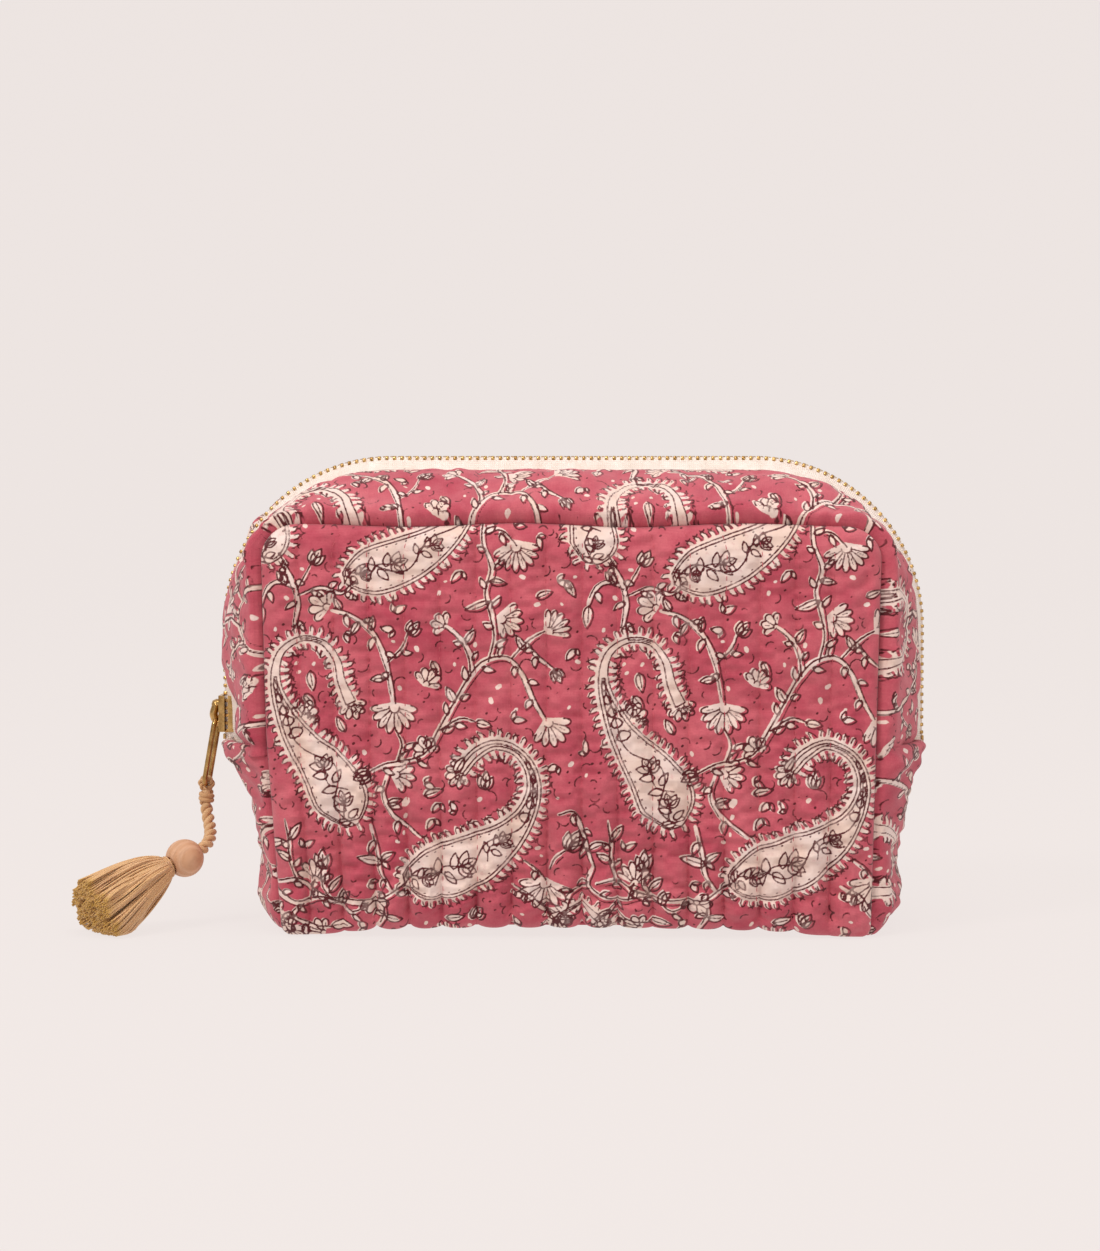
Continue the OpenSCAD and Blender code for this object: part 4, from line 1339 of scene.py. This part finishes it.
def foot_stations(s, angles):
    a = np.asarray(angles)
    z = FOOT_R + FOOT_R * np.sin(a)
    crown = (HALF_ZIP - side_x(ZIP_END_Z)) * np.clip(z / ZIP_END_Z, 0, 1) ** SIDE_POWER
    return np.stack([s * (HALF_BOTTOM - FOOT_R + FOOT_R * np.cos(a)), z, s * np.cos(a), np.sin(a),
                     s * crown, 0 * a], -1)


def bottom_stations(spacing):
    """From the right zip end under the bag to the left zip end."""
    down = spaced(ZIP_END_Z + 1.5 * MM, FOOT_R, spacing)
    bend = spaced(0, -math.pi / 2, spacing / FOOT_R)
    under = spaced(HALF_BOTTOM - FOOT_R, FOOT_R - HALF_BOTTOM, spacing)
    o = np.zeros(len(under))
    flat = np.stack([under, o, o, o - 1, o, o], -1)
    return np.vstack([side_stations(1, down[:-1]), foot_stations(1, bend[:-1]), flat[:-1],
                      foot_stations(-1, bend[::-1][:-1]), side_stations(-1, down[::-1])])


def crown_share(y):
    t = np.clip((np.abs(y) - CROWN_Y) / (GUSSET_Y - CROWN_Y), 0, 1)
    return 1 - t * t


def gusset_grid(stations, y):
    """Points of the gusset's surface, one row for each station."""
    f = crown_share(y)[None]
    x = stations[:, 0, None] + stations[:, 4, None] * f
    z = stations[:, 1, None] + stations[:, 5, None] * f
    return np.stack([x, np.broadcast_to(y[None], x.shape), z], -1)


def run_of(points):
    """The distance along a line of points, with 0 half way."""
    s = run_along(points)
    return s - s[-1] / 2


def trim(grid, step):
    """Drops rows and columns at the end until the counts suit the coarse inner skin."""
    r = (grid.shape[0] - 1) // step * step + 1
    c = (grid.shape[1] - 1) // step * step + 1
    rows = np.round(np.linspace(0, grid.shape[0] - 1, r)).astype(int)
    columns = np.round(np.linspace(0, grid.shape[1] - 1, c)).astype(int)
    return grid[rows][:, columns]


def zip_sink(up, x, z):
    """How far the folds beside the zip lie below its teeth: most on top, least up the left side."""
    side = np.where(x > 0, 2.4 * MM, 0.5 * MM)
    end = np.where(x < 0, 6.4 * MM * smooth_step(z, 95 * MM, 74 * MM), 0)
    return 4.6 * MM * up + side * (1 - up) + end


def end_tuck(z):
    """How far the lower ends of the strips go in under the bottom gusset's hem."""
    return 2.4 * MM * smooth_step(z, 70 * MM, 64.5 * MM)


# How far the left end of each strip stands away from the zip.
GAPE_FRONT = 5.8 * MM
GAPE_BACK = 2.5 * MM
# A strip is thinner than its wall up to this far from the middle, where it is folded over the tape.
THIN_Y = 14.2 * MM
THIN_WALL = 2.0 * MM
STRIP_SPACING = 0.5 * MM
STRIP_COLUMNS = 12 * STEP


def make_strip(name, sign, seed, cloth_shift):
    """One of the two strips beside the zip: front for sign -1, back for sign 1."""
    stations = strip_stations(STRIP_SPACING)
    y = np.linspace(GUSSET_Y, ZIP_GAP, 1 + STRIP_COLUMNS)
    base = trim(gusset_grid(stations, -y), STEP)
    normal = outward_normals(base, 80 * MM)
    across = run_along(base[len(base) // 2])
    along_it = run_of(base[:, 0])
    u = np.repeat(along_it[:, None], base.shape[1], 1)
    seam = np.repeat(across[None], base.shape[0], 0)
    s, _ = channel_place(u)
    fold = across[-1] - seam
    x, z = base[..., 0], base[..., 2]
    rim = base[:, -1:]
    up = smooth_step(rim[..., 2], ARC_Z, ZIP_TOP)
    sink = zip_sink(up, rim[..., 0], rim[..., 2]) * smooth_step(fold, 26 * MM, 1 * MM)
    roll = seam_roll(seam, 4.6 * MM, 4.2 * MM)
    tuck = -2.4 * MM * smooth_step(seam, 2.0 * MM, 0)
    broad = roll - sink - end_tuck(z)
    if sign > 0:
        corner = np.exp(-(((x + 108 * MM) / (22 * MM)) ** 2 + ((z - 141 * MM) / (20 * MM)) ** 2))
        broad = broad + 6.5 * MM * corner * smooth_step(fold, 2 * MM, 12 * MM)
    hem = rounded_end(fold, 0.9 * MM, 1.4 * MM)
    body = smooth_step(seam, 0, 6 * MM) * smooth_step(fold, 1 * MM, 13 * MM)
    puff = body * (1.0 * MM * (arch(s) - 1) + 0.9 * MM * waves(u, seam * 0.8, 34 * MM, seed)
                   + 0.3 * MM * waves(u, seam, 12 * MM, seed + 1))
    gathers = 0.4 * MM * waves(u, seam * 0.25, 6 * MM, seed + 2) * smooth_step(seam, 12 * MM, 1 * MM)
    ripple = 0.25 * MM * waves(u, seam * 0.1, 16 * MM, seed + 5) * smooth_step(fold, 6 * MM, 0)
    detail = tuck + hem + puff + (gathers + ripple) * smooth_step(seam, 0, 2 * MM)
    outer = base + normal * (broad + detail)[..., None]
    gape = np.where(x < 0, smooth_step(z, 90 * MM, 72 * MM), 0) * smooth_step(fold, 22 * MM, 0)
    gape = gape * (GAPE_FRONT if sign < 0 else GAPE_BACK)
    outer[..., 1] -= gape
    depth = np.where(np.abs(base[..., 1]) < THIN_Y, THIN_WALL, WALL)
    inner = base + normal * (broad - depth)[..., None]
    inner[..., 1] -= gape
    cloth = np.stack([u / MM + cloth_shift[0], seam / MM + cloth_shift[1]], -1)
    if sign > 0:
        outer, inner, cloth = [g[::-1] for g in (outer * [1, -1, 1], inner * [1, -1, 1], cloth)]
    return padded_sheet(name, lean(outer[:, ::-1]), lean(inner[:, ::-1]), cloth[:, ::-1], STEP, PADS)


front_strip = make_strip("front_strip_quilt", -1, 100, (-3, 85))
back_strip = make_strip("back_strip_quilt", 1, 130, (40, 20))


BOTTOM_SPACING = 0.55 * MM
BOTTOM_COLUMNS = 24 * STEP
SAG_LEFT = 7.0 * MM
SAG_RIGHT = 2.0 * MM


def make_bottom():
    """The gusset under the zip ends and across the base. It has sagged in on the left."""
    stations = bottom_stations(BOTTOM_SPACING)
    y = np.linspace(-GUSSET_Y, GUSSET_Y, 1 + BOTTOM_COLUMNS)
    base = trim(gusset_grid(stations, y), STEP)
    normal = outward_normals(base, 60 * MM)
    along_it = -run_of(base[:, base.shape[1] // 2])
    u = np.repeat(along_it[:, None], base.shape[1], 1)
    v = np.repeat(base[0, :, 1][None], base.shape[0], 0)
    s, _ = channel_place(u)
    seam = GUSSET_Y - np.abs(v)
    x, z = base[..., 0], base[..., 2]
    wall = smooth_step(z, 3 * MM, 14 * MM)
    body = smooth_step(seam, 0, 6 * MM)
    puff = 1.7 * MM * (1 - 0.6 * wall) * (arch(s) - 1) - 0.3 * MM
    loose = body * wall * (1.3 * MM * waves(u, v, 30 * MM, 160) + 0.5 * MM * waves(u * 1.5, v, 12 * MM, 161))
    below = np.clip((ZIP_END_Z - z) / ZIP_END_Z, 0, 1)
    sag = crown_share(v) * np.sin(math.pi * below**0.75) * smooth_step(z, 2 * MM, 20 * MM)
    sag = np.where(x < 0, SAG_LEFT, SAG_RIGHT) * sag
    toe = np.exp(-(((z - 9 * MM) / (9 * MM)) ** 2)) * smooth_step(np.abs(x), 80 * MM, 104 * MM) * body
    swell = toe * np.where(x < 0, 1.2 * MM, 4.0 * MM)
    lip = 1.6 * MM * np.exp(-(((z - 59 * MM) / (4 * MM)) ** 2)) * body
    end = np.minimum(u - u.min(), u.max() - u)
    hem = rounded_end(end, 1.3 * MM, 1.6 * MM)
    roll = wall * seam_roll(seam, 2.4 * MM, 4 * MM)
    tuck = -1.8 * MM * smooth_step(seam, 2.2 * MM, 0)
    broad = roll + swell + lip - sag
    outer = base + normal * (broad + puff + loose + tuck + hem)[..., None]
    outer[..., 2] += scallop(x, z) * smooth_step(seam, 30 * MM, 0) * (1 - wall)
    outer[..., 2] = np.maximum(outer[..., 2], 0.05 * MM)
    inner = base + normal * (broad - WALL)[..., None]
    inner[..., 2] = np.maximum(inner[..., 2], 2 * MM)
    cloth = np.stack([u / MM, v / MM - GUSSET_Y / MM], -1)
    return padded_sheet("bottom_gusset_quilt", lean(outer[:, ::-1]), lean(inner[:, ::-1]), cloth[:, ::-1],
                        STEP, PADS)


bottom_gusset = make_bottom()

# ---- zip ----


def zip_line():
    """Where each tooth sits: [x, z] and the outward direction, for a distance along the zip."""
    side_run = ARC_Z - FIRST_TOOTH_Z
    r = ZIP_R - LINE_DEPTH
    corner_run = r * math.pi / 2
    total = 2 * side_run + 2 * corner_run + 2 * ARC_X

    def at(s):
        s = np.asarray(s, float)
        t = np.minimum(s, total - s)
        sign = np.where(s <= total / 2, -1.0, 1.0)
        a = np.clip((t - side_run) / r, 0, math.pi / 2)
        x = ARC_X + r * np.cos(a) - np.maximum(t - side_run - corner_run, 0)
        z = np.where(t < side_run, FIRST_TOOTH_Z + t, ARC_Z + r * np.sin(a))
        return np.stack([sign * x, z], -1), np.stack([sign * np.cos(a), np.sin(a)], -1)

    return at, total


zip_at, ZIP_RUN = zip_line()
TOOTH_STEPS = round(ZIP_RUN / TOOTH_PITCH)
PITCH = ZIP_RUN / TOOTH_STEPS


def make_tape(name, sign):
    """A woven tape with a corded edge under the teeth. It slopes down under the strip's fold."""
    s = np.linspace(-5 * MM, ZIP_RUN + 5 * MM, 520)
    at, out = zip_at(s)
    profile = MM * np.array([
        [1.9, 0.0], [2.1, 0.62], [2.7, 0.75], [3.3, 0.62], [3.6, 0.32], [5.2, 0.3], [7.0, 0.3],
        [9.0, 0.28], [14.0, -0.8], [14.0, -1.3], [9.0, -0.28], [7.0, -0.3], [5.2, -0.3], [3.6, -0.32],
        [3.3, -0.62], [2.7, -0.75], [2.1, -0.62],
    ])
    up = smooth_step(at[:, 1], ARC_Z, ZIP_TOP)
    sink = zip_sink(up, at[:, 0], at[:, 1]) + 0.5 * MM + end_tuck(at[:, 1])
    lower = sink[:, None] * smooth_step(profile[:, 0], 2.6 * MM, 9.0 * MM)[None]
    rise = profile[None, :, 1] - lower
    x = at[:, None, 0] + out[:, None, 0] * rise
    z = at[:, None, 1] + out[:, None, 1] * rise
    y = np.broadcast_to(sign * profile[None, :, 0], x.shape)
    points = np.stack([x, y, z], -1).reshape(-1, 3)
    n = len(profile)
    quads, caps = grid_quads(len(s), n, closed=True), end_caps(len(s), n)
    if sign < 0:
        quads, caps = quads[:, ::-1], caps[:, ::-1]
    piece = new_mesh(name, points, quads, [caps], [TAPE])
    cloth = np.stack([np.repeat(s, n), np.tile(profile[:, 0], len(s)), np.zeros(len(points))], -1)
    set_attribute(piece, "cloth", cloth)
    return piece


def tooth_shape():
    """One tooth of a metal zip, reaching towards +Y over the middle, outward along +Z, along X."""
    half = 0.58
    outline = np.array([
        [-3.9, 0.75], [-3.5, 1.12], [-2.4, 1.22], [-1.0, 1.05], [0.2, 0.85], [0.95, 0.45],
        [0.95, -0.45], [0.2, -0.85], [-1.0, -1.05], [-2.4, -1.22], [-3.5, -1.12], [-3.9, -0.75],
    ])
    rings = []
    for x, grow in ((-half, 0.78), (-half * 0.8, 1.0), (half * 0.8, 1.0), (half, 0.78)):
        centre = np.array([-1.5, 0])
        ring = centre + (outline - centre) * [0.5 + grow / 2, grow]
        rings.append(np.column_stack([np.full(len(ring), x), ring]))
    n = len(outline)
    return MM * np.vstack(rings), grid_quads(len(rings), n, closed=True), end_caps(len(rings), n)


def make_teeth(name, sign, count):
    """A row of teeth on one tape, half a pitch away from the other row."""
    s = (np.arange(count) + (0.5 if sign > 0 else 0.0)) * PITCH
    at, out = zip_at(s)
    o = np.zeros(len(s))
    origin = np.stack([at[:, 0], o, at[:, 1]], -1)
    outward = np.stack([out[:, 0], o, out[:, 1]], -1)
    across = np.stack([o, o - sign, o], -1)
    forward = np.cross(across, outward)
    places = np.stack([origin, forward, across, outward], -1)
    points, quads, caps = many(*tooth_shape(), places)
    return new_mesh(name, points, quads, [caps], [BRASS])


front_tape = make_tape("front_zip_tape", -1)
back_tape = make_tape("back_zip_tape", 1)
front_teeth = make_teeth("front_zip_teeth", -1, TOOTH_STEPS + 1)
back_teeth = make_teeth("back_zip_teeth", 1, TOOTH_STEPS)


def bevel_node(name, width):
    """Rounds a metal part's edges."""
    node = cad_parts[name]
    node.data.materials.clear()
    node.data.materials.append(BRASS)
    bevel = node.modifiers.new("edges", "BEVEL")
    bevel.width = width
    bevel.segments = 3
    bevel.limit_method = "ANGLE"
    return node


for part, width in (("slider_body", 0.8), ("top_stops", 0.25), ("bottom_stop", 0.25)):
    bevel_node(part, width * MM)


def make_bridge():
    """The arch on the slider that holds the pull."""
    low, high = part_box("slider_bridge")
    outer_x, inner_x = low.x + 1.3 * MM, high.x
    route = [(inner_x + 0.5 * MM, high.z - 1.2 * MM), (inner_x - 1.6 * MM, high.z - 1.0 * MM),
             (outer_x + 0.7 * MM, high.z - 2.0 * MM), (outer_x, high.z - 4.2 * MM),
             (outer_x, low.z + 3.4 * MM), (outer_x + 0.9 * MM, low.z + 1.4 * MM),
             (inner_x - 1.4 * MM, low.z + 1.0 * MM), (inner_x + 0.5 * MM, low.z + 1.2 * MM)]
    line = curve([(x, 0, z) for x, z in route], 0.3 * MM)
    points, quads, caps = tube(line, 1.5 * MM, 14)
    points[:, 1] *= 1.6
    return new_mesh("slider_arch", points, quads, [caps], [BRASS])


PULL_TOP = MM * np.array([-128, 0, 71.5])
PULL_TURN = math.radians(8)
PULL_HALF = 3.1 * MM
WIRE_R = 0.95 * MM


def make_pull():
    """A long loop of wire, turned a little about its length."""
    length = np.linalg.norm(PULL_BOTTOM - PULL_TOP)
    down = (PULL_BOTTOM - PULL_TOP) / length
    side = np.array([math.sin(PULL_TURN), math.cos(PULL_TURN), 0.0])
    a = np.linspace(0, math.pi, 15)
    arc = np.stack([-np.sin(a) * PULL_HALF, np.cos(a) * PULL_HALF], -1)
    inset = [PULL_HALF * 0.7, 0]
    ends = np.vstack([arc * [0.75, 1] + inset, arc * [-0.75, -1] + [length, 0] - inset])
    route = np.vstack([ends, ends[:1]])
    line, _ = along(PULL_TOP + route[:, :1] * down + route[:, 1:] * side, 0.5 * MM)
    points, quads, caps = tube(line, WIRE_R, 12)
    return new_mesh("pull_wire", points, quads, [caps], [BRASS])


bridge = make_bridge()
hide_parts("slider_bridge")
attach(bridge, "slider")
pull = make_pull()
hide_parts("pull_loop")
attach(pull, "pull")

# ---- binding over the inside seams ----


BINDING_OUTER = 4.6 * MM
BINDING_INNER = 11.5 * MM


def make_binding(name, sign):
    """A folded tape that covers the raw edges where a panel meets the gusset."""
    rows = panel_rows()[::4]
    right = np.stack([rows[:, 1], rows[:, 0]], -1)
    outline = np.vstack([right, (right * [-1, 1])[::-1]])
    centre = np.array([0, PANEL_H / 2])
    half = np.array([HALF_TOP, PANEL_H / 2])
    ring = centre + (outline - centre) * (1 - BINDING_OUTER / half)
    inner = centre + (outline - centre) * (1 - BINDING_INNER / half)
    t = np.array([0, 0.12, 0.35, 0.65, 0.88, 1.0])
    lift = MM * np.array([0.1, 0.9, 1.3, 1.3, 0.9, 0.1])
    flat = ring[:, None] * (1 - t)[None, :, None] + inner[:, None] * t[None, :, None]
    y = np.broadcast_to(sign * (FACE_Y - WALL - lift)[None], flat.shape[:2])
    face = np.stack([flat[..., 0], y, flat[..., 1]], -1)
    back_y = np.full(flat.shape[:2], sign * (FACE_Y - WALL + 0.3 * MM))
    back = np.stack([flat[..., 0], back_y, flat[..., 1]], -1)
    loop = np.concatenate([face, back[:, ::-1]], 1)
    n = loop.shape[1]
    points = loop.reshape(-1, 3)
    quads = np.vstack([grid_quads(len(loop), n, closed=True), joining_quads(len(loop), n)])
    if sign > 0:
        quads = quads[:, ::-1]
    piece = new_mesh(name, points, quads, materials=[BINDING])
    length = run_of(ring)
    width = np.tile(np.arange(n) * MM, len(loop))
    cloth = np.stack([np.repeat(length, n), width, np.zeros(len(points))], -1)
    set_attribute(piece, "cloth", cloth)
    return piece


front_binding = make_binding("front_seam_binding", -1)
back_binding = make_binding("back_seam_binding", 1)

# ---- quilting thread ----

STITCH = 2.1 * MM
STITCH_PITCH = 3.7 * MM
THREAD_R = 0.14 * MM


def stitch_rows(outer, columns_at, name):
    """Running stitches that follow a grid's surface along chosen columns."""
    parts = []
    for column in columns_at:
        line = outer[:, column]
        keep = (line[:, 2] > 4 * MM) & (line[:, 2] < PANEL_H - 3 * MM)
        line = line[keep]
        s = run_of(line)
        for start in np.arange(s[0] + 1.5 * MM, s[-1] - STITCH, STITCH_PITCH):
            t = np.linspace(start, start + STITCH, 5)
            path = np.stack([np.interp(t, s, line[:, k]) for k in range(3)], -1)
            sink = np.array([0.25, -0.06, -0.12, -0.06, 0.25]) * MM
            path[:, 1] -= sink * np.sign(line[0, 1])
            parts.append(tube(path, THREAD_R, 5))
    points, quads, caps = join(parts)
    piece = new_mesh(name, points, quads, [caps], [STITCHING])
    set_attribute(piece, "shade", np.linspace(0, 1, len(points)) % 0.6)
    return piece


def channel_columns(outer):
    """The columns of a panel's grid that lie on the quilting lines."""
    x = outer[outer.shape[0] // 2, :, 0]
    count = int(HALF_TOP / CHANNEL) + 1
    lines = CHANNEL_START + CHANNEL * np.arange(-count, count + 1)
    lines = lines[np.abs(lines) < HALF_BOTTOM - 4 * MM]
    return [int(np.argmin(np.abs(x - line))) for line in lines]


front_thread = stitch_rows(front_outer, channel_columns(front_outer), "front_quilting_thread")
back_thread = stitch_rows(back_outer, channel_columns(back_outer), "back_quilting_thread")

# ---- pieces baked in place, the bottom gusset on the bag's body, and the CAD parts they replace hidden ----


def blend_up(piece):
    """Bakes the piece's placement into its mesh."""
    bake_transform(piece)


for piece, flap, slot in (
    (front_panel, "front_flap", "printed_cotton"), (back_panel, "back_flap", "printed_cotton"),
    (front_strip, "front_flap", "printed_cotton"), (back_strip, "back_flap", "printed_cotton"),
    (front_tape, "front_flap", "zip_tape"), (back_tape, "back_flap", "zip_tape"),
    (front_teeth, "front_flap", "brass"), (back_teeth, "back_flap", "brass"),
    (front_binding, "front_flap", "binding_tape"), (back_binding, "back_flap", "binding_tape"),
    (front_thread, "front_flap", "printed_cotton"), (back_thread, "back_flap", "printed_cotton"),
):
    blend_up(piece)
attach(bottom_gusset, "bag")

for piece, side in ((front_panel, "front"), (back_panel, "back")):
    layers = [f"{side}_{layer}_{part}"
              for layer in ("cover", "wadding", "lining") for part in ("lower", "upper")]
    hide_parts(*layers)
for piece, side in ((front_strip, "front"), (back_strip, "back")):
    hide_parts(f"{side}_strip", f"{side}_strip_wadding", f"{side}_strip_lining", "side_strips",
                "side_strips_wadding", "side_strips_lining")
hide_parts("bottom_gusset", "bottom_gusset_wadding", "bottom_gusset_lining")
for piece, side in ((front_tape, "front"), (back_tape, "back")):
    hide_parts(f"{side}_tape", "tape_ends")
for piece, side in ((front_teeth, "front"), (back_teeth, "back")):
    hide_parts(f"{side}_teeth", "end_teeth")
for piece, side in ((front_binding, "front"), (back_binding, "back")):
    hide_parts(f"{side}_binding_lower", f"{side}_binding_upper")

# ---- stage and light ----

BACKGROUND = srgb("#efe7e4")
FLOOR_DROP = 0.0002


def make_stage():
    """A pale floor that curves up into a backdrop, far enough away to show no edge."""
    profile = [(-6, 0), (3, 0)]
    for k in range(1, 13):
        a = k / 12 * math.pi / 2
        profile.append((3 + 2 * math.sin(a), 2 - 2 * math.cos(a)))
    profile.append((5, 9))
    points = [(x, y, z - FLOOR_DROP) for x in (-9, 9) for y, z in profile]
    n = len(profile)
    quads = [(i, n + i, n + i + 1, i + 1) for i in range(n - 1)]
    material, tree, shader = new_material("backdrop", 0.95)
    shader.inputs["Base Color"].default_value = BACKGROUND
    shader.inputs["Specular IOR Level"].default_value = 0.0
    glow = add_node(tree, "ShaderNodeEmission", Color=BACKGROUND, Strength=1.0)
    both = add_node(tree, "ShaderNodeMixShader", i0=0.93, i1=shader.outputs[0], i2=glow.outputs[0])
    tree.links.new(both.outputs[0], tree.nodes["Material Output"].inputs["Surface"])
    floor = new_mesh("floor", points, quads, materials=[material])


LIGHT_COLOUR = (1, 0.97, 0.94)
LIT_POINT = Vector((0, 0, 0.07))


def make_light(name, at, size, power):
    light = bpy.data.lights.new(name, "AREA")
    light.shape = "DISK"
    light.size = size
    light.energy = power
    light.color = LIGHT_COLOUR
    lamp = bpy.data.objects.new(name, light)
    lamp.location = at
    lamp.rotation_euler = (Vector(at) - LIT_POINT).to_track_quat("Z", "Y").to_euler()
    bpy.context.scene.collection.objects.link(lamp)


def make_world():
    world = bpy.data.worlds.new("studio")
    world.use_nodes = True
    tree = world.node_tree
    sky = tree.nodes["Background"]
    sky.inputs[0].default_value = (1, 0.975, 0.955, 1)
    place = add_node(tree, "ShaderNodeTexCoord").outputs["Generated"]
    height = add_node(tree, "ShaderNodeSeparateXYZ", Vector=place).outputs[2]
    tree.links.new(map_range(tree, height, -0.15, 0.8, 0.22, 0.8), sky.inputs[1])
    bpy.context.scene.world = world


make_stage()
make_world()
make_light("key", (-1.05, -1.15, 1.45), 0.6, 17)
make_light("fill", (1.3, -1.5, 0.7), 1.0, 5)
make_light("top", (0.1, -0.3, 1.6), 0.8, 7)
bpy.context.scene.view_settings.view_transform = "Standard"
